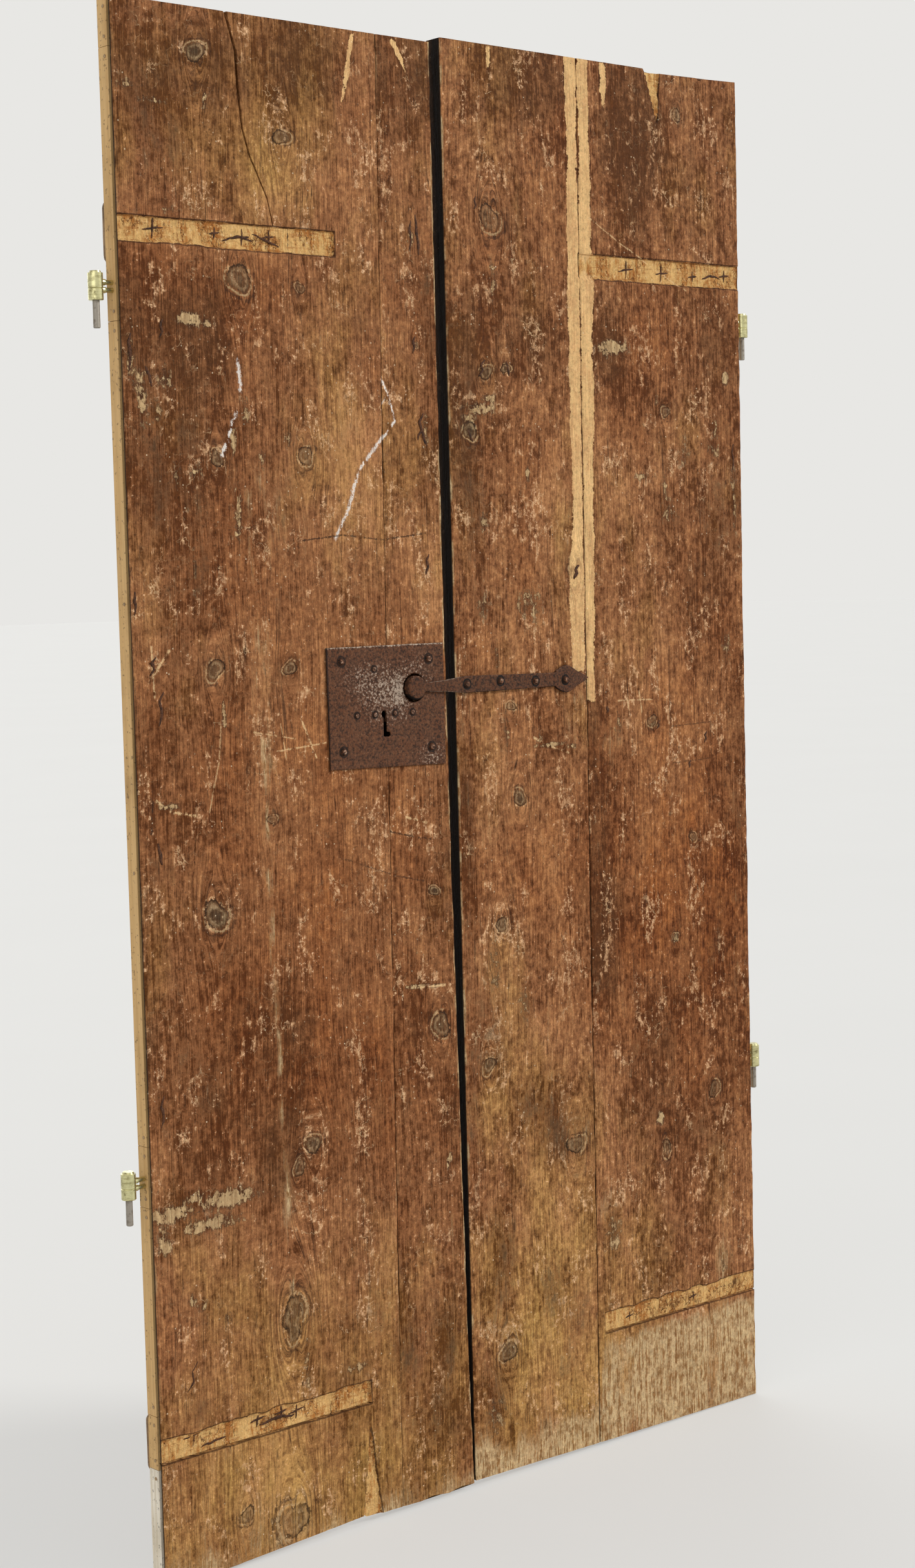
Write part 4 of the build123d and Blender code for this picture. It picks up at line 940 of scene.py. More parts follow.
def housings(x, z):
    """Depth of the ledges' housings in the back, which waves a little."""
    depth = np.zeros_like(x)
    for level in LEDGE_LEVELS:
        depth += HOUSING_DEPTH * (abs(z - level) < HOUSING_HALF)
    return depth + 0.25 * rough(x / 80, z / 300, 91, 3)


def kerfs(x, z, *reaches):
    """Depth of the upper and the lower saw kerf, each between two places across."""
    depth = np.zeros_like(x)
    for level, (first, last) in zip(KERF_LEVELS, reaches):
        cut = (abs(z - level) < 1.0) & (x > first) & (x < last)
        depth = np.where(cut, bpy.context.scene.door_sizes.kerf_depth / MM, depth)
    return depth


def pocket(x, z):
    """Depth of the mortise behind the lock plate."""
    return np.where(box_inside(x, z, *MORTISE) > 0, POCKET_DEPTH, 0.0)


def wide_front(x, z, seed):
    """Depth of the wide left board's face, with its kerfs, its split and the mortise."""
    gap = abs(x - SPLIT_PATH(z)) - SPLIT_HALF(z)
    split = np.where((z > SPLIT_FOOT) & (gap < 0.0), SPLIT_DEPTH, 0.0)
    cut = kerfs(x, z, (-1, 247), (-1, 328))
    return np.maximum.reduce([face_depth(x, z, LEFT_KNOTS, LEFT_BEDS, seed), cut, split, pocket(x, z)])


def narrow_front(x, z, seed):
    """Depth of the narrow left board's face, with the mortise."""
    return np.maximum(face_depth(x, z, LEFT_KNOTS, LEFT_BEDS, seed), pocket(x, z))


def right_front(x, z, seed):
    """Depth of a right board's face, with its kerfs."""
    across = x + LEAF_SHIFT
    cut = kerfs(across, z, (740, 1100), (750, 1100))
    return np.maximum(face_depth(across, z, RIGHT_KNOTS, RIGHT_BEDS, seed), cut)


# Scratches and dark lines on each board, as places in millimetres, a width, a colour and a strength

CHALK = (234, 226, 216)
SOOT = (46, 30, 22)
TAN = (214, 178, 130)
SCRATCHES = {
    "left_wide_board": [
        ([(391, 1399), (370, 1377), (349, 1355), (331, 1307), (309, 1271)], 3.2, CHALK, 0.75),
        ([(166, 1488), (169, 1450)], 3.0, CHALK, 0.75),
        ([(161, 1424), (146, 1389), (139, 1373)], 3.4, CHALK, 0.85),
        ([(250, 1619), (250, 1650)], 1.6, SOOT, 0.9),
        ([(262, 158), (262, 188)], 1.6, SOOT, 0.9),
        ([(249, 1268), (320, 1275), (390, 1268)], 1.6, SOOT, 0.8),
        ([(172, 1036), (236, 1024)], 1.4, TAN, 0.6),
        ([(206, 1010), (284, 1016)], 1.6, TAN, 0.7),
        ([(214, 1044), (222, 996)], 1.4, TAN, 0.7),
        ([(246, 1048), (270, 996)], 1.8, TAN, 0.8),
        ([(20, 1103), (51, 1140)], 2.4, TAN, 0.8),
        ([(26, 1146), (28, 1086)], 2.0, TAN, 0.7),
        ([(22, 975), (17, 925)], 3.0, SOOT, 0.85),
        ([(26, 962), (46, 948), (82, 940)], 2.6, TAN, 0.8),
        ([(123, 1046), (119, 1004), (102, 943)], 1.6, TAN, 0.5),
        ([(300, 870), (392, 838)], 1.6, SOOT, 0.6),
    ],
    "left_narrow_board": [
        ([(381, 1493), (391, 1470), (400, 1453), (411, 1419), (398, 1405), (386, 1392)], 2.2, CHALK, 0.85),
        ([(404, 1458), (388, 1436), (380, 1398)], 1.2, CHALK, 0.5),
        ([(384, 1268), (457, 1276)], 1.6, SOOT, 0.8),
        ([(375, 898), (420, 886), (452, 880)], 2.2, SOOT, 0.8),
        ([(390, 838), (440, 826)], 1.8, SOOT, 0.7),
        ([(412, 912), (446, 902)], 2.0, TAN, 0.8),
        ([(420, 688), (470, 686)], 2.4, TAN, 0.8),
    ],
    "right_inner_board": [([(640, 1000), (665, 988), (704, 976)], 2.2, TAN, 0.8)],
    "right_outer_board": [
        ([(800, 1042), (880, 1040)], 1.4, TAN, 0.7),
        ([(815, 1060), (822, 1020)], 1.4, TAN, 0.7),
        ([(840, 1058), (846, 1024)], 1.4, TAN, 0.7),
        ([(760, 1700), (820, 1668), (950, 1610)], 1.6, TAN, 0.6),
        ([(900, 1000), (985, 1002), (985, 950), (905, 948)], 1.6, SOOT, 0.6),
    ],
}


# Materials

class StainedWood(Finish):
    """Old stained softwood, laid over the fields that a board's mesh holds.

    shift moves its noises, so that no two boards look alike; contrast is how uneven the stain is.
    """

    def __init__(self, name, shift, contrast):
        super().__init__(name, sheen=0.06)
        self.shift = shift
        self.contrast = contrast
        across, along, self.rings = self.parts(self.stored("grain").link("Vector"))
        # The tone's second channel holds grime and, above 1 on the side walls, painted shade
        self.bleach, self.grime_and_shade, self.red = self.parts(self.stored("tone").link("Vector"))
        self.patch, self.chip, self.torn = self.parts(self.stored("field").link("Vector"))
        self.knot, self.knot_shade, self.knot_turn = self.parts(self.stored("knot").link("Vector"))
        self.lay = self.vector(across, along, 0.0)
        # Noises from fine to coarse: three along the grain, then blotches and specks
        self.fibre = self.along_grain((1000, 24), 2, 0.6, 0) - 0.5
        self.strand = self.along_grain((240, 5), 3, 0.6, 3) - 0.5
        self.cloud = self.along_grain((30, 15), 5, 0.62, 5) - 0.5
        self.mottle = self.along_grain((120, 70), 4, 0.65, 7) - 0.5
        self.busy = self.along_grain((24, 13), 4, 0.62, 61).between(0.5, 0.66)
        self.grit = self.noise(self.place, 330, 3, 0.65) - 0.5
        self.crumb = self.noise(self.place, 210, 3, 0.7) - 0.5
        worn_off = self.bleach + self.strand * 0.8 + self.cloud * 0.9 + self.mottle * 0.6
        self.faded = worn_off.between(0.3, 0.85)
        ragged = (self.mottle + self.cloud) * (self.torn * 0.005 + 0.0022)
        self.edge = self.stored("pale").value("Fac") + ragged + self.grit * (self.torn * 0.004 + 0.001)
        self.bare = self.edge.between(-0.0003, 0.0006)

    def along_grain(self, scales, detail, roughness, number):
        """A noise of this board, drawn out along its grain."""
        return self.stretched(self.lay, scales, detail, roughness, self.shift + number)

    def stain(self):
        """Stain, thinner where the board is worn, with growth rings close to the knots."""
        uneven = (self.cloud * 0.9 + self.mottle * 1.1 + self.crumb * 0.5) * self.contrast
        worn = uneven + self.strand * 0.8 + self.fibre * 0.9
        level = self.patch * 0.85 + worn + self.bleach * 0.25 - self.grime_and_shade * 0.25
        wood = self.mix(ink("stain_dark"), ink("stain_mid"), level.between(-0.05, 0.5))
        wood = self.mix(wood, ink("worn_gold"), level.between(0.42, 1.05) * 0.9)
        warm = self.along_grain((9, 5), 4, 0.6, 51)
        red = self.red + (warm - 0.5) * 1.6 + self.cloud * 0.5
        wood = self.mix(wood, self.times(wood, (0.80, 0.62, 0.46)), red.held())
        wood = self.mix(wood, self.times(wood, (1.22, 1.55, 1.12)), (0 - red).held())
        thick = (0.42 - self.patch + self.cloud * 0.8).between(0.0, 0.35)
        wood = self.mix(wood, (84, 57, 34), thick * 0.4)
        close = 1 - self.knot.between(1.0, 2.8)
        ring = ((self.rings * FULL_TURN + self.strand * 2.0).sine() * 0.5 + 0.5) ** 3.0
        return self.mix(wood, (64, 38, 22), (ring * (close * 0.6 + self.patch * 0.16)).held())

    def wear_marks(self, wood):
        """Rubbed specks, scuffs, pores, curls, dents and drying checks."""
        grit, crumb, mottle, busy = self.grit, self.crumb, self.mottle, self.busy
        rub = (grit * 0.9 + crumb * 0.9 + mottle * 0.4 + busy * 0.16 + self.patch * 0.04).between(0.25, 0.4)
        wood = self.mix(wood, (214, 176, 138), rub * 0.75)
        scuff = (busy * 0.45 + mottle * 1.6 * self.contrast + crumb * 0.8).between(0.42, 0.75)
        wood = self.mix(wood, (194, 152, 112), scuff * 0.6)
        pore = (crumb - grit * 0.5 - self.strand * 0.3).between(0.1, 0.24)
        pore = pore * (1.1 - self.patch * 0.6).held()
        wood = self.mix(wood, (56, 29, 10), pore * 0.8)
        curl = self.noise(self.place, 42, 3, 0.5).near(0.5, 0.012)
        curl = curl * self.noise(self.place, 24, 2).between(0.5, 0.6)
        wood = self.mix(wood, (214, 178, 134), curl * (grit + 0.6).held() * (busy * 0.8 + 0.15))
        dent = self.noise(self.place, 30, 4, 0.6).near(0.47, 0.008) * (busy * 0.6 + 0.2)
        wood = self.mix(wood, (48, 30, 20), dent * 0.7)
        check = self.along_grain((75, 1.6), 2, 0.5, 19).near(0.5, 0.006)
        check = check * (self.strand + self.patch).between(0.25, 0.6)
        return self.mix(wood, (42, 27, 19), check * 0.6)

    def weathering(self, wood):
        """Bleached wood, and flakes of stain that have come off."""
        fibre, strand, mottle = self.fibre, self.strand, self.mottle
        fibrous = (fibre * 2 + mottle * 2 + strand + 0.45).between(0.2, 0.8)
        wood = self.mix(wood, self.mix(ink("bleached"), (122, 86, 50), fibrous), self.faded * 0.85)
        flake = self.chip + mottle * 1.3 + self.crumb * 0.9 + self.cloud * 0.5
        rim = flake.between(0.26, 0.44) * self.chip.between(0.02, 0.2)
        wood = self.mix(wood, (58, 38, 26), rim * 0.7)
        streaked = (self.grit * 1.5 + fibre * 2.5 + strand + 0.45).held()
        flake_wood = self.mix((212, 180, 132), (136, 104, 70), streaked)
        return self.mix(wood, flake_wood, (flake + fibre * 0.5).between(0.45, 0.58) * 0.85)

    def bare_wood(self, wood):
        """Bare wood in the beds and strips, with a dark rim, gouges darkened as painted shade, and mould
        over all.
        """
        grit, crumb, cloud, torn = self.grit, self.crumb, self.cloud, self.torn
        aged = (cloud * 1.5 + self.mottle * 1.5 + self.strand + 0.5).between(0.25, 0.9)
        fresh = self.mix(ink("pale_wood"), (158, 100, 46), aged * 0.9)
        # Painted shade: dark lines for the shade inside the chisel gouges
        gouge_shade = self.stretched(self.place, (95, 95, 60), 3, 0.6, self.shift + 29).near(0.5, 0.026)
        gouge_shade = gouge_shade * (cloud + self.grime_and_shade * 0.6).between(-0.05, 0.1)
        fresh = self.mix(fresh, (78, 44, 22), gouge_shade * (1 - torn * 0.7) * 0.9)
        streak = self.stretched(self.place, (30, 90, 330), 4, 0.65, self.shift + 33) - 0.5
        fresh = self.mix(fresh, (150, 92, 44), (streak * 2 + cloud).between(0.0, 0.3) * (1 - torn) * 0.6)
        fresh = self.mix(fresh, (120, 78, 42), (grit + crumb).between(0.12, 0.26) * 0.6)
        fresh = self.mix(fresh, (228, 194, 142), (crumb - grit).between(0.1, 0.25) * 0.5)
        fresh = self.mix(fresh, (226, 186, 134), torn * 0.5)
        wood = self.mix(wood, fresh, self.bare)
        # Mould over all, full on the side walls, where it is painted shade
        clotted = (cloud + self.mottle) * 1.4 * self.grime_and_shade.between(0.02, 0.25)
        mould = (self.grime_and_shade + clotted + self.strand * 0.5).between(0.15, 0.95)
        wood = self.mix(wood, ink("grime_and_shade"), mould * 0.75)
        rim = self.edge.near(-0.0009, 0.0012) * (0.7 - torn * 0.45)
        return self.mix(wood, (50, 31, 20), rim)

    def knots(self, wood):
        """Knots with their eye, a broken pale ring, a crack and a dark ring."""
        grit, crumb, mottle = self.grit, self.crumb, self.mottle
        shade, turn, covered = self.knot_shade, self.knot_turn, 1 - self.bare
        reach = self.knot + grit * 0.35 + mottle * 0.5
        disc = (1 - reach.between(0.8, 1.0)) * covered
        eye = (reach * 13.0 + crumb * 5.0).sine() * 0.5 + 0.5
        veined = (eye * 0.7 + self.fibre + crumb * 2 - 0.1).held()
        knot_wood = self.mix((92, 66, 42), (158, 134, 100), veined)
        knot_wood = self.mix(knot_wood, (46, 38, 28), (1 - self.knot.between(0.1, 0.75)) * shade)
        wood = self.mix(wood, knot_wood, disc * (0.35 + shade * 0.5))
        halo = (shade * 0.1 + grit * 1.2 + crumb + mottle + turn * 0.2).between(-0.06, 0.14)
        wood = self.mix(wood, (176, 146, 106), reach.near(1.1, 0.11) * halo * covered * 0.7)
        crack = reach.near(0.9, 0.1) * (mottle + crumb - turn * 0.25).between(-0.14, 0.02)
        wood = self.mix(wood, (34, 24, 16), crack * covered * 0.8)
        outer_ring = reach.near(1.36, 0.12) * (crumb - mottle + turn * 0.2).between(-0.02, 0.1)
        return self.mix(wood, (60, 38, 25), outer_ring * covered * 0.6)

    def scratches(self, wood, strokes):
        """Chalk specks and pits, with the scratches on the front face."""
        chalk = self.dots(95, 0.05, 0.12) * self.noise(self.place, 19, 2).between(0.5, 0.62)
        wood = self.mix(wood, (222, 200, 166), chalk * 0.75)
        pit = self.dots(140, 0.05, 0.13) * self.noise(self.place, 14, 2).between(0.48, 0.6)
        wood = self.mix(wood, (34, 24, 17), pit * 0.8)
        on_face = 1 - self.parts(self.place)[1].between(FRONT_Y + 0.01, FRONT_Y + 0.02)
        broken_up = (self.grit + self.mottle * 2.0 + self.crumb + self.cloud).between(-0.26, 0.0) * on_face
        for places, width, colour, strength in strokes:
            line = self.stroke(world_points(places), width * MM, (self.grit + self.crumb) * 2.5)
            wood = self.mix(wood, colour, line * broken_up * strength)
        return wood

    def finish(self, strokes):
        """Lays all the layers over one another and gives the material."""
        fibre, grit, crumb, mottle = self.fibre, self.grit, self.crumb, self.mottle
        wood = self.stain()
        for layer in (self.wear_marks, self.weathering, self.bare_wood, self.knots):
            wood = layer(wood)
        wood = self.scratches(wood, strokes)
        wood = self.shade(wood, fibre * 0.7 + grit * 0.8 + crumb * 0.9 + mottle * 0.35 + 0.98)
        # Painted shade: near black on the side walls, where the grimy channel goes above 1
        wood = self.mix(wood, (17, 13, 10), (self.grime_and_shade - 1).held() * 0.92)
        height = fibre * 0.4 + self.strand * 0.8 + mottle * 0.9 + crumb * 0.5
        gloss = 0.64 + fibre * 0.3 + self.bare * 0.15 + self.faded * 0.12
        return self.wear(wood, gloss.held(), self.bump(height, 0.0018, 0.85))


def plain_timber(name, wood, dark, along, shift, grime_share=0.5):
    """Unpainted softwood in a plain length; along is the axis its grain follows."""
    f = Finish(name, sheen=0.2)
    fine = [900.0, 900.0, 900.0]
    wide = [130.0, 130.0, 130.0]
    fine[along], wide[along] = 14.0, 4.0
    fibre = f.stretched(f.place, fine, 2, 0.6, shift)
    strand = f.stretched(f.place, wide, 3, 0.6, shift + 2)
    patch = f.noise(f.place, 17, 4, 0.65)
    base = f.mix(wood, dark, (strand * 0.8 + patch * 0.5).between(0.5, 0.95) * 0.8)
    base = f.mix(base, (70, 52, 36), patch.between(0.5, 0.75) * grime_share)
    base = f.mix(base, (60, 46, 34), f.noise(f.place, 240, 2).between(0.62, 0.7) * 0.55)
    base = f.shade(base, (fibre - 0.5) * 0.6 + 1.0)
    height = fibre * 0.5 + strand
    return f.wear(base, (0.62 + (strand - 0.5) * 0.25).held(), f.bump(height, 0.0006, 0.7))


def old_iron(name, warm=0.4, bright=0.8, dark=0.0):
    """Rust-brown forged iron with pits, orange specks, bright rubbed places, dark specks and painted shade.
    """
    f = Finish(name, sheen=0.1)
    # The worn field holds the rubbed places, then painted shade
    rubbed, painted_shade = f.parts(f.stored("worn").link("Vector"))[:2]
    patch = f.noise(f.place, 60, 4, 0.65)
    grit = f.noise(f.place, 640, 3, 0.7) - 0.5
    speck = f.noise(f.place, 300, 3, 0.65) - 0.5
    base = f.mix(ink("rust"), (68, 44, 31), patch.between(0.38, 0.66))
    base = f.mix(base, (132, 78, 46), (speck + patch * 0.3).between(0.08, 0.26) * warm)
    base = f.mix(base, (42, 28, 21), (grit * 0.6 - speck).between(0.03, 0.16) * 0.8)
    base = f.mix(base, (132, 106, 82), (grit + speck * 0.5).between(0.1, 0.22) * 0.5)
    shine = (rubbed + speck * 3.2 + grit * 2.4 - 0.2).between(0.2, 0.8) * bright * rubbed.between(0.02, 0.3)
    base = f.mix(base, (172, 156, 138), shine)
    # Painted shade from the worn field, with dark specks from the grit and the overall darkening that dark
    # gives
    base = f.mix(base, (26, 20, 17), ((painted_shade + grit * 0.8).between(0.2, 0.8) * 0.85 + dark).held())
    gloss = 0.6 + grit * 0.5 - shine * 0.2
    height = patch * 0.7 + grit * 0.5 + speck * 0.8
    return f.wear(base, gloss.held(), f.bump(height, 0.0013, 0.9), shine * 0.4)


def hinge_brass(name):
    """Yellow plated brass with dull streaks round the barrel."""
    f = Finish(name, sheen=0.5)
    streak = f.stretched(f.place, (60, 60, 420), 3, 0.6)
    blotch = f.noise(f.place, 120, 4, 0.65)
    base = f.mix(ink("brass"), (132, 122, 78), (streak * 0.6 + blotch * 0.6).between(0.52, 0.8) * 0.8)
    base = f.mix(base, (78, 68, 42), blotch.between(0.58, 0.72) * 0.6)
    gloss = 0.2 + streak * 0.16 + blotch.between(0.5, 0.7) * 0.25
    return f.wear(base, gloss.held(), f.bump(streak + blotch * 0.3, 0.0001, 0.3), 0.95)


def dull_steel(name, colour=(150, 142, 130), shift=0.0):
    """Plain steel with turning marks and brown spots."""
    f = Finish(name, sheen=0.5)
    blotch = f.noise(f.place, 150, 4, 0.6)
    ring = f.stretched(f.place, (80, 80, 900), 2, 0.5, shift)
    base = f.mix(colour, (92, 78, 62), blotch.between(0.48, 0.7) * 0.7)
    return f.wear(base, (0.36 + ring * 0.3).held(), f.bump(ring, 0.0002, 0.3), 0.8 - blotch * 0.4)


# Building pieces

def dress(piece, body, slot, *nodes):
    """Lets a finished piece stand for its nodes and ride on its body."""
    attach(piece, body)
    if nodes:
        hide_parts(*nodes)
    return piece


def coat(piece, material):
    """Gives a piece one material."""
    piece.data.materials.clear()
    piece.data.materials.append(material)


def paint_node(name, material):
    """Gives a CAD node a finish of its own without touching its mesh."""
    node = NODES[name]
    if not node.material_slots:
        node.data.materials.append(material)
    for slot in node.material_slots:
        slot.link = "OBJECT"
        slot.material = material


def forged(node_name, name, voxel, blow, blow_size, seed, grit=0.0, smooth=0):
    """A hammered copy of a CAD node: its solids remeshed finely, then beaten out of true.

    voxel is the mesh's fineness, blow and blow_size the depth and spacing of the blows, in metres.
    """
    made = NODES[node_name].data.copy()
    made.name = name
    piece = place(bpy.data.objects.new(name, made))
    remesh = piece.modifiers.new("even", "REMESH")
    remesh.mode = "VOXEL"
    remesh.voxel_size = voxel
    remesh.use_smooth_shade = True
    if smooth:
        soften = piece.modifiers.new("soften", "SMOOTH")
        soften.factor = 0.5
        soften.iterations = smooth
    bpy.context.view_layer.update()
    ready = piece.evaluated_get(bpy.context.evaluated_depsgraph_get())
    even = bpy.data.meshes.new_from_object(ready)
    piece.modifiers.clear()
    piece.data = even
    even.name = name
    count = len(even.vertices)
    places = np.empty(count * 3, np.float32)
    even.vertices.foreach_get("co", places)
    places = places.reshape(-1, 3).astype(float)
    normals = np.empty(count * 3, np.float32)
    even.vertices.foreach_get("normal", normals)
    normals = normals.reshape(-1, 3)
    x, y, z = (places / blow_size).T
    push = blow * rough(x + 0.3 * y, z + 0.6 * y, seed, 3)
    if grit:
        push = push + grit * rough(x * 6 + y * 4, z * 6, seed + 5, 2)
    places += normals * push[:, None]
    even.vertices.foreach_set("co", places.astype(np.float32).ravel())
    even.update()
    even.shade_smooth()
    return piece, places, normals


def world_points(points):
    """Places on the door, in millimetres, as metres in the frame."""
    return [(LEFT_X + x * MM, SILL_Z + z * MM) for x, z in points]


def on_door(places):
    """Places in the frame as places across and up on the door, in millimetres."""
    return (places[:, 0] - LEFT_X) / MM, (places[:, 2] - SILL_Z) / MM


def ring_shade(x, z, heads, radius):
    """Painted shade: dark rings round the heads of nails or rivets, for the shade where they meet the iron.
    """
    total = np.zeros_like(x)
    for head_x, head_z in heads:
        total = np.maximum(total, np.exp(-((np.hypot(x - head_x, z - head_z) - radius) / 1.4) ** 2))
    return total


def nail_set(node, name, body, material, seed, shine):
    """Nail heads beaten out of true, rubbed on their crowns, with painted shade round their rims."""
    piece, _, normals = forged(node, name, voxel=0.0006, blow=0.0003, blow_size=0.004, seed=seed, smooth=2)
    crown = ease(-0.55, -0.95, normals[:, 1])
    # Painted shade on the sides of the heads, all but the crown
    put_vectors(piece.data, "worn", crown * shine, (1 - crown) * 0.7, crown * 0)
    coat(piece, material)
    dress(piece, body, "rusted_iron", node)


# A sliver's section as places across and up, for half its width and its height above the face
SLIVER_SECTION = [(-1.0, 0.25), (-0.6, 0.85), (0.0, 1.0), (0.6, 0.8), (1.0, 0.2), (0.5, -1.0), (-0.5, -1.0)]
# How deep a sliver's foot lies in the face, in millimetres
SLIVER_SUNK = 1.6


def sliver(path, width, proud, seed):
    """A thin bent length of iron or a torn edge, lying in the face: points and faces of a closed form.

    path holds places across and up, proud is the height above the face, in millimetres.
    """
    path = np.array(path, float)
    steps = np.concatenate([[0], np.cumsum(np.hypot(*np.diff(path, axis=0).T))])
    count = max(7, int(steps[-1] / 2.5))
    at = np.linspace(0, steps[-1], count)
    line = np.stack([np.interp(at, steps, path[:, axis]) for axis in (0, 1)], axis=-1)
    line[:, 0] += 0.35 * width * rough(at / 7, at * 0 + seed, seed, 3)
    line[:, 1] += 0.35 * width * rough(at / 7, at * 0 + seed + 9, seed + 1, 3)
    run = np.gradient(line, axis=0)
    run /= np.linalg.norm(run, axis=1)[:, None]
    swell = np.sin(np.pi * np.linspace(0.04, 0.96, count)) ** 0.55
    swell = swell * (1 + 0.35 * rough(at / 5, at * 0, seed + 2, 3))
    points = []
    for (x, z), (dx, dz), size in zip(line, run, swell):
        for side, lift in SLIVER_SECTION:
            across = side * width * 0.5 * size
            depth = -lift * proud * size if lift > 0 else SLIVER_SUNK
            points.append((x - dz * across, depth, z + dx * across))
    loop = len(SLIVER_SECTION)
    faces = []
    for row in range(0, (count - 1) * loop, loop):
        for k in range(loop):
            beside = (k + 1) % loop
            faces.append((row + k, row + beside, row + loop + beside, row + loop + k))
    faces.append(tuple(range(loop))[::-1])
    faces.append(tuple((count - 1) * loop + k for k in range(loop)))
    return points, faces


def sliver_set(name, slivers, body, material):
    """Gathers slivers into one piece.

    Each is a path, a width, a height above the face and the face's depth.
    """
    points, faces = [], []
    for number, (path, width, proud, face) in enumerate(slivers):
        new_points, new_faces = sliver(path, width, proud, 300 + number)
        faces += [tuple(len(points) + corner for corner in corners) for corners in new_faces]
        points += [
            (LEFT_X + x * MM, FRONT_Y + (depth + face) * MM, SILL_Z + z * MM) for x, depth, z in new_points
        ]
    made = bpy.data.meshes.new(name)
    made.from_pydata(points, [], faces)
    made.update()
    made.shade_smooth()
    blank = np.zeros(len(points))
    put_vectors(made, "worn", blank, blank, blank)
    piece = place(bpy.data.objects.new(name, made))
    coat(piece, material)
    return dress(piece, body, "rusted_iron")


def bent_nail(x, z, length, lean=0.0, width=4.2):
    """A nail end hammered over along the grain."""
    half = length / 2
    foot, top = (x - lean, z - half), (x + lean, z + half)
    path = [foot, (x + 1.5, z - half * 0.3), (x - 1.0, z + half * 0.4), top]
    return path, width, 0.9, 0.35


def star_mark(x, z, size):
    """A nail broken off in a bed: two crossed splinters."""
    across = [(x - size, z - 0.12 * size), (x, z + 0.4), (x + size, z + 0.15 * size)]
    upright = [(x - 0.1 * size, z - 0.8 * size), (x + 0.5, z), (x + 0.08 * size, z + 0.9 * size)]
    return [(across, 2.6, 0.5, 3.2), (upright, 2.4, 0.6, 3.2)]


class DOOR_OT_boards(bpy.types.Operator):
    """Builds the four stained boards with their grain, beds, kerfs, split and knots"""

    bl_idname = "door.boards"
    bl_label = "Stained boards"

    def execute(self, context):
        pitch = context.scene.door_sizes.column_pitch / MM
        seed = finishes().seed
        plain_side = [(0.0, 3.2), (0.0, 14.0), (0.3, 27.2)]
        hinge_side = [(0.0, 4.0), (10.0, 4.02), (10.0, 27.6)]
        left = dict(
            top=course((0, LEFT_TOP)), leaf_x=LEFT_X, knots=LEFT_KNOTS, beds=LEFT_BEDS, strips=[],
            marks=left_marks, worn_edges=worn_left_edges,
        )
        right = dict(
            leaf_x=RIGHT_X, knots=RIGHT_KNOTS, beds=RIGHT_BEDS, marks=right_marks,
            worn_edges=worn_right_edges,
        )
        wide = Plank(
            "left_wide_plank", course((0, 0.0)), course((0, 374.6), (1900, 395.6)),
            foot=course((0, 0.2), (312, 12.5), (315, 9.5), (375, 8)), seed=seed, **left,
        )
        narrow = Plank(
            "left_narrow_plank", course((0, 375.4), (1900, 396.4)), bowed_edge,
            foot=course((375, 8), (406, 6.8), (427, 9.2), (455, 5.5), (477, 9.2), (500, 6.8)),
            seed=seed + 3, **left,
        )
        inner = Plank(
            "right_inner_plank", course((0, 0.0)), course((5, 232.2), (1908, 241.6)),
            foot=course((0, 10), (116, 7.5), (233, 5)), top=course((0, RIGHT_TOP)),
            seed=seed + 6, strips=[LEFT_STRIP], **right,
        )
        outer = Plank(
            "right_outer_plank", course((5, 233.8), (1908, 242.4)), course((0, 555.0)),
            foot=course((233, 5), (555, 0.2)),
            top=course(
                (242, RIGHT_TOP), (370, RIGHT_TOP), (371, 1903.5), (475, 1905.8), (481, 1901.8),
                (487, 1905.8), (555, RIGHT_TOP),
            ),
            seed=seed + 9, strips=[RIGHT_STRIP], **right,
        )
        wide_board = wide.build(
            pitch, BED_ROWS + MORTISE_ROWS + HOUSING_ROWS, wide_front, hinge_side, plain_side,
            split=(SPLIT_PATH, SPLIT_HALF),
        )
        narrow_board = narrow.build(
            NARROW_PITCH, MORTISE_ROWS + HOUSING_ROWS, narrow_front, plain_side, plain_side,
        )
        inner_board = inner.build(INNER_PITCH, HOUSING_ROWS, right_front, plain_side, plain_side)
        outer_board = outer.build(
            OUTER_PITCH, BED_ROWS + HOUSING_ROWS, right_front, plain_side, hinge_side,
        )
        for number, (node, piece, contrast) in enumerate((
            ("left_wide_board", wide_board, 1.15), ("left_narrow_board", narrow_board, 1.2),
            ("right_inner_board", inner_board, 1.5), ("right_outer_board", outer_board, 1.5),
        )):
            stained = StainedWood(f"{node} stain", shift=20.0 * number, contrast=contrast)
            coat(piece, stained.finish(SCRATCHES[node]))
            dress(piece, node.split("_")[0] + "_leaf", "stained_board", node)
        return {"FINISHED"}


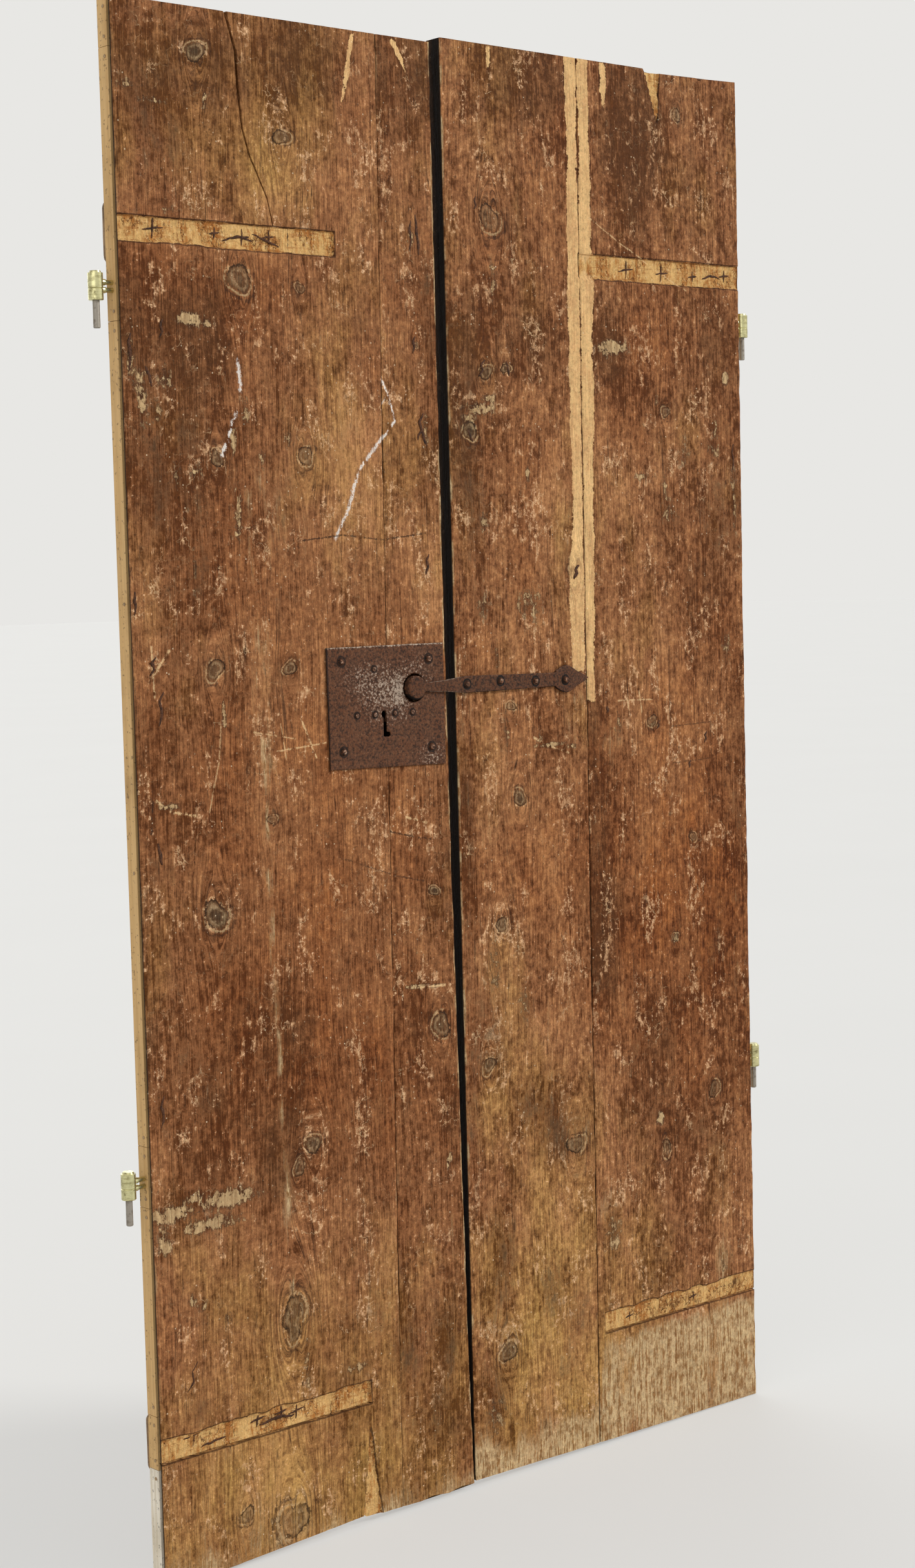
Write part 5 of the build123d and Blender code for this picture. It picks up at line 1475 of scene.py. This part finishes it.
class DOOR_OT_nails(bpy.types.Operator):
    """Hammers the clenched nails and broken nail ends into the faces"""

    bl_idname = "door.nails"
    bl_label = "Clenched nails"

    def execute(self, context):
        black = old_iron("clenched iron", warm=0.35, bright=0.4, dark=0.35)
        left = [
            bent_nail(55, 1520, 22, 3), bent_nail(10, 1491, 46, 2), bent_nail(36, 1464, 24, -4),
            bent_nail(444, 1654, 40, 2), bent_nail(456, 1655, 52, -2), bent_nail(446, 1516, 20, 2),
            bent_nail(453, 1412, 34, 5), bent_nail(459, 1398, 22, -4), bent_nail(459, 1236, 26, 3),
            bent_nail(18, 588, 40, 3), bent_nail(28, 899, 26, -2), bent_nail(36, 1072, 40, 4),
            bent_nail(27, 1123, 22, 5), bent_nail(5, 1198, 26, 1), bent_nail(49, 256, 34, 9, 3.2),
        ]
        for x, z, size in (
            (50, 1637, 15), (139, 1637, 9), (180, 1634, 13), (221, 1637, 10),
            (50, 183, 16), (146, 179, 11), (183, 180, 9), (207, 176, 12),
        ):
            left += star_mark(x, z, size)
        left += [
            ([(150, 1628), (175, 1636), (196, 1631)], 3.4, 0.6, 3.0),
            ([(196, 1640), (214, 1634), (240, 1626)], 3.0, 0.6, 3.0),
            ([(150, 171), (170, 175), (204, 172)], 4.0, 0.7, 3.0),
            ([(60, 166), (96, 170)], 3.0, 0.5, 3.0),
        ]
        right = [
            bent_nail(556, 1702, 16, 2), bent_nail(539, 1402, 18, -4), bent_nail(562, 1490, 22, 6, 3.2),
            bent_nail(607, 1491, 20, -3), bent_nail(878, 1004, 12, 4, 3.0), bent_nail(974, 981, 14, 3),
            bent_nail(940, 944, 10, 2), bent_nail(779, 1031, 9, 2), bent_nail(725, 1221, 18, 5, 6.0),
            bent_nail(1040, 1378, 40, 2, 3.0),
        ]
        for x, z, size in (
            (834, 1632, 15), (903, 1631, 14), (966, 1630, 9), (1031, 1634, 10),
            (800, 172, 9), (930, 173, 8),
        ):
            right += star_mark(x, z, size)
        right += [([(985, 1628), (1004, 1634), (1022, 1630)], 3.0, 0.6, 3.0)]
        sliver_set("left_clenched_nails", left, "left_leaf", black)
        sliver_set("right_clenched_nails", right, "right_leaf", black)
        return {"FINISHED"}


class DOOR_OT_ledges(bpy.types.Operator):
    """Weathers the four ledges on the back of the leaves"""

    bl_idname = "door.ledges"
    bl_label = "Ledges"

    def execute(self, context):
        material = plain_timber(
            "old ledge wood", (146, 116, 82), (92, 68, 46), along=0, shift=2.0, grime_share=0.6,
        )
        for number, name in enumerate(("left_upper", "left_lower", "right_upper", "right_lower")):
            node = f"{name}_ledge"
            piece = forged(
                node, f"{name}_batten", voxel=0.0032, blow=0.0005, blow_size=0.05, seed=60 + number,
                grit=0.0001, smooth=1,
            )[0]
            coat(piece, material)
            dress(piece, name.split("_")[0] + "_leaf", "ledge_wood", node)
        return {"FINISHED"}


class DOOR_OT_laths(bpy.types.Operator):
    """Finishes the new laths let into the hinge edges, and their nails"""

    bl_idname = "door.laths"
    bl_label = "New laths"

    def execute(self, context):
        upright = dict(along=2, grime_share=0.15)
        tan = plain_timber("new lath", ink("lath_wood"), (184, 142, 88), shift=5.0, **upright)
        pale = plain_timber("pale lath", (232, 222, 204), (200, 182, 152), shift=9.0, **upright)
        for name in NODES:
            if "_lath_" in name and not name.endswith("nails"):
                paint_node(name, pale if name == "left_lath_foot" else tan)
        nail = dull_steel("lath nail", (168, 140, 104), 3.0)
        for side in ("left", "right"):
            paint_node(f"{side}_lath_nails", nail)
        return {"FINISHED"}


class DOOR_OT_hinges(bpy.types.Operator):
    """Finishes the brass barrels and the steel pins they turn on"""

    bl_idname = "door.hinges"
    bl_label = "Hinges"

    def execute(self, context):
        brass = hinge_brass("barrel brass")
        steel = dull_steel("pin steel")
        for side in ("left", "right"):
            for level in ("lower", "upper"):
                paint_node(f"{side}_{level}_hinge_barrel", brass)
                paint_node(f"{side}_{level}_hinge_pin", steel)
        return {"FINISHED"}


class DOOR_OT_lock(bpy.types.Operator):
    """Hammers the lock plate, its nails and rivets, and finishes the works behind it"""

    bl_idname = "door.lock"
    bl_label = "Lock"

    def execute(self, context):
        plate, places, _ = forged(
            "lock_plate", "hammered_plate", voxel=0.0011, blow=0.00028, blow_size=0.014, seed=71,
            grit=0.00006, smooth=1,
        )
        x, z = on_door(places)
        rubbed = spots(x, z, [
            (402, 1074, 20, 26, 0.85), (384, 1070, 44, 34, 0.5), (394, 1046, 36, 16, 0.35),
        ])
        corners = spots(x, z, [
            (455, 990, 24, 18, 0.4), (440, 1100, 30, 30, 0.25), (340, 1096, 40, 22, 0.25),
        ])
        top = (PLATE_HIGH.z - SILL_Z) / MM
        top_edge = 0.8 * ease(top - 3.0, top - 0.5, z)
        # Painted shadow: a dark band along the plate's left edge, for the shadow along that edge
        left = (PLATE_LOW.x - LEFT_X) / MM
        left_edge = 0.7 * ease(left + 4.0, left + 2.0, x)
        # Painted shade round the nail and rivet heads, carried in the worn field's second channel
        painted_shade = np.maximum(ring_shade(x, z, PLATE_NAILS, NAIL_RING), ring_shade(x, z, LOCK_RIVETS, RIVET_RING))
        put_vectors(
            plate.data, "worn", np.clip(rubbed + corners + top_edge, 0, 1),
            np.maximum(painted_shade, left_edge), x * 0,
        )
        coat(plate, old_iron("plate iron", warm=0.3, bright=0.75))
        dress(plate, "left_leaf", "rusted_iron", "lock_plate")
        heads = old_iron("nail iron", warm=0.8, bright=0.6)
        nail_set("plate_nails", "plate_nail_set", "left_leaf", heads, seed=81, shine=0.5)
        nail_set("lock_rivets", "lock_rivet_set", "left_leaf", heads, seed=85, shine=0.5)
        works = old_iron("works iron", warm=0.4, bright=0.5)
        for name in ("lock_bolt", "bolt_guides", "key_bridge", "key_ward", "bolt_spring", "strap_staple"):
            paint_node(name, works)
        return {"FINISHED"}


class DOOR_OT_strap(bpy.types.Operator):
    """Hammers the strap with its boss and spear point, and its nails"""

    bl_idname = "door.strap"
    bl_label = "Strap"

    def execute(self, context):
        strap, places, normals = forged(
            "strap", "forged_strap", voxel=0.0008, blow=0.00035, blow_size=0.012, seed=75,
            grit=0.00008, smooth=2,
        )
        x, z = on_door(places)
        bevel = ease(0.25, 0.6, abs(normals[:, 2])) * (normals[:, 1] < 0.1)
        neck = ease(445, 460, x) * ease(520, 500, x)
        worn = np.clip(bevel * (0.3 + 0.7 * neck), 0, 1)
        # Painted shade: faces that turn down, away from the neck, are darkened for the shade under the
        # strap
        under = ease(-0.3, -0.7, normals[:, 2]) * (1 - neck)
        painted_shade = np.maximum(ring_shade(x, z, STRAP_NAILS, NAIL_RING), under)
        put_vectors(strap.data, "worn", worn, painted_shade, x * 0)
        coat(strap, old_iron("strap iron", warm=0.4, bright=0.6, dark=0.22))
        dress(strap, "right_leaf", "rusted_iron", "strap")
        heads = old_iron("strap nail iron", warm=0.7, bright=0.6)
        nail_set("strap_nails", "strap_nail_set", "right_leaf", heads, seed=88, shine=0.4)
        return {"FINISHED"}


def seen_rays(nodes):
    """1 for the rays that show a surface, straight, mirrored or through glass."""
    rays = nodes.node("ShaderNodeLightPath")
    straight = rays.value("Is Camera Ray") + rays.value("Is Glossy Ray")
    return (straight + rays.value("Is Transmission Ray")).held()


def lay_floor():
    """A wide pale floor just below the sill, half lit by its own colour where it is seen."""
    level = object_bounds()[0].z - 0.001
    mesh = bpy.data.meshes.new("floor")
    corners = [(x * FLOOR_REACH, y * FLOOR_REACH, level) for x, y in ((-1, -1), (1, -1), (1, 1), (-1, 1))]
    mesh.from_pydata(corners, [], [(0, 1, 2, 3)])
    floor = place(bpy.data.objects.new("floor", mesh))
    pale = Finish("pale floor")
    cloud = pale.noise(pale.place, 1.4, 3)
    coat(floor, pale.wear(pale.mix((221, 220, 216), (216, 215, 211), cloud), 0.75))
    glow = pale.node("ShaderNodeEmission", None, {"Color": tint(STUDIO)}).link(0)
    shaders = {0: seen_rays(pale) * 0.5, 1: pale.shader.link(0), 2: glow}
    both = pale.node("ShaderNodeMixShader", None, shaders).link(0)
    pale.node("ShaderNodeOutputMaterial", {"is_active_output": True}, {0: both})
    floor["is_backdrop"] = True


def set_world(scene):
    """Soft light from all round, with a plain pale wall where it is seen."""
    world = bpy.data.worlds.new("studio")
    scene.world = world
    world.use_nodes = True
    air = Nodes(world.node_tree)
    light = air.node("ShaderNodeBackground", None, {"Color": SKY, "Strength": SKY_STRENGTH}).link(0)
    wall = air.node("ShaderNodeBackground", None, {"Color": tint(STUDIO), "Strength": 1.0}).link(0)
    both = air.node("ShaderNodeMixShader", None, {0: seen_rays(air), 1: light, 2: wall}).link(0)
    air.node("ShaderNodeOutputWorld", None, {0: both})


def hang_lamps():
    """Three lamps, each with the direction it stands in, its spread in degrees and its strength."""
    for name, towards, spread, strength in (
        ("key lamp", (0.66, -0.58, 0.48), 14, 2.15),
        ("fill lamp", (-0.80, -0.42, 0.42), 60, 0.8),
        ("back lamp", (0.25, 0.85, 0.46), 60, 1.0),
    ):
        lamp = bpy.data.lights.new(name, "SUN")
        lamp.angle = math.radians(spread)
        lamp.energy = strength
        holder = place(bpy.data.objects.new(name, lamp))
        holder.rotation_euler = Vector(towards).to_track_quat("Z", "Y").to_euler()


def place_camera(scene):
    """The camera, at the photograph's viewing angle."""
    lens = bpy.data.cameras.new("camera")
    lens.lens = scene.door_sizes.lens
    lens.sensor_width = 36.0
    lens.clip_start = 0.05
    camera = place(bpy.data.objects.new("camera", lens))
    forward = Vector(CAMERA_FORWARD).normalized()
    right = Vector(CAMERA_RIGHT).normalized()
    turn = Matrix((right, right.cross(forward), -forward)).transposed().to_4x4()
    camera.matrix_world = Matrix.Translation(CAMERA_PLACE) @ turn
    scene.camera = camera


class DOOR_OT_stage(bpy.types.Operator):
    """Sets the floor, the lamps, the world and the camera"""

    bl_idname = "door.stage"
    bl_label = "Stage"

    def execute(self, context):
        lay_floor()
        set_world(context.scene)
        hang_lamps()
        place_camera(context.scene)
        context.scene.view_settings.view_transform = "Standard"
        return {"FINISHED"}


OPERATORS = (
    DOOR_OT_boards, DOOR_OT_nails, DOOR_OT_ledges, DOOR_OT_laths,
    DOOR_OT_hinges, DOOR_OT_lock, DOOR_OT_strap, DOOR_OT_stage,
)


class DOOR_PT_panel(bpy.types.Panel):
    """Lists the door's steps with its sizes and colours"""

    bl_idname = "DOOR_PT_panel"
    bl_label = "Barn door"
    bl_space_type = "VIEW_3D"
    bl_region_type = "UI"
    bl_category = "Barn door"

    def draw(self, context):
        for group in (context.scene.door_sizes, context.scene.door_finishes):
            for name in group.__annotations__:
                self.layout.prop(group, name)
        for operator in OPERATORS:
            self.layout.operator(operator.bl_idname)


CLASSES = (DoorSizes, DoorFinishes, *OPERATORS, DOOR_PT_panel)


def register():
    for item in CLASSES:
        bpy.utils.register_class(item)
    bpy.types.Scene.door_sizes = PointerProperty(type=DoorSizes)
    bpy.types.Scene.door_finishes = PointerProperty(type=DoorFinishes)


def unregister():
    del bpy.types.Scene.door_finishes
    del bpy.types.Scene.door_sizes
    for item in reversed(CLASSES):
        bpy.utils.unregister_class(item)


def main():
    register()
    for operator in OPERATORS:
        group, name = operator.bl_idname.split(".")
        getattr(getattr(bpy.ops, group), name)()


if __name__ == "__main__":
    main()
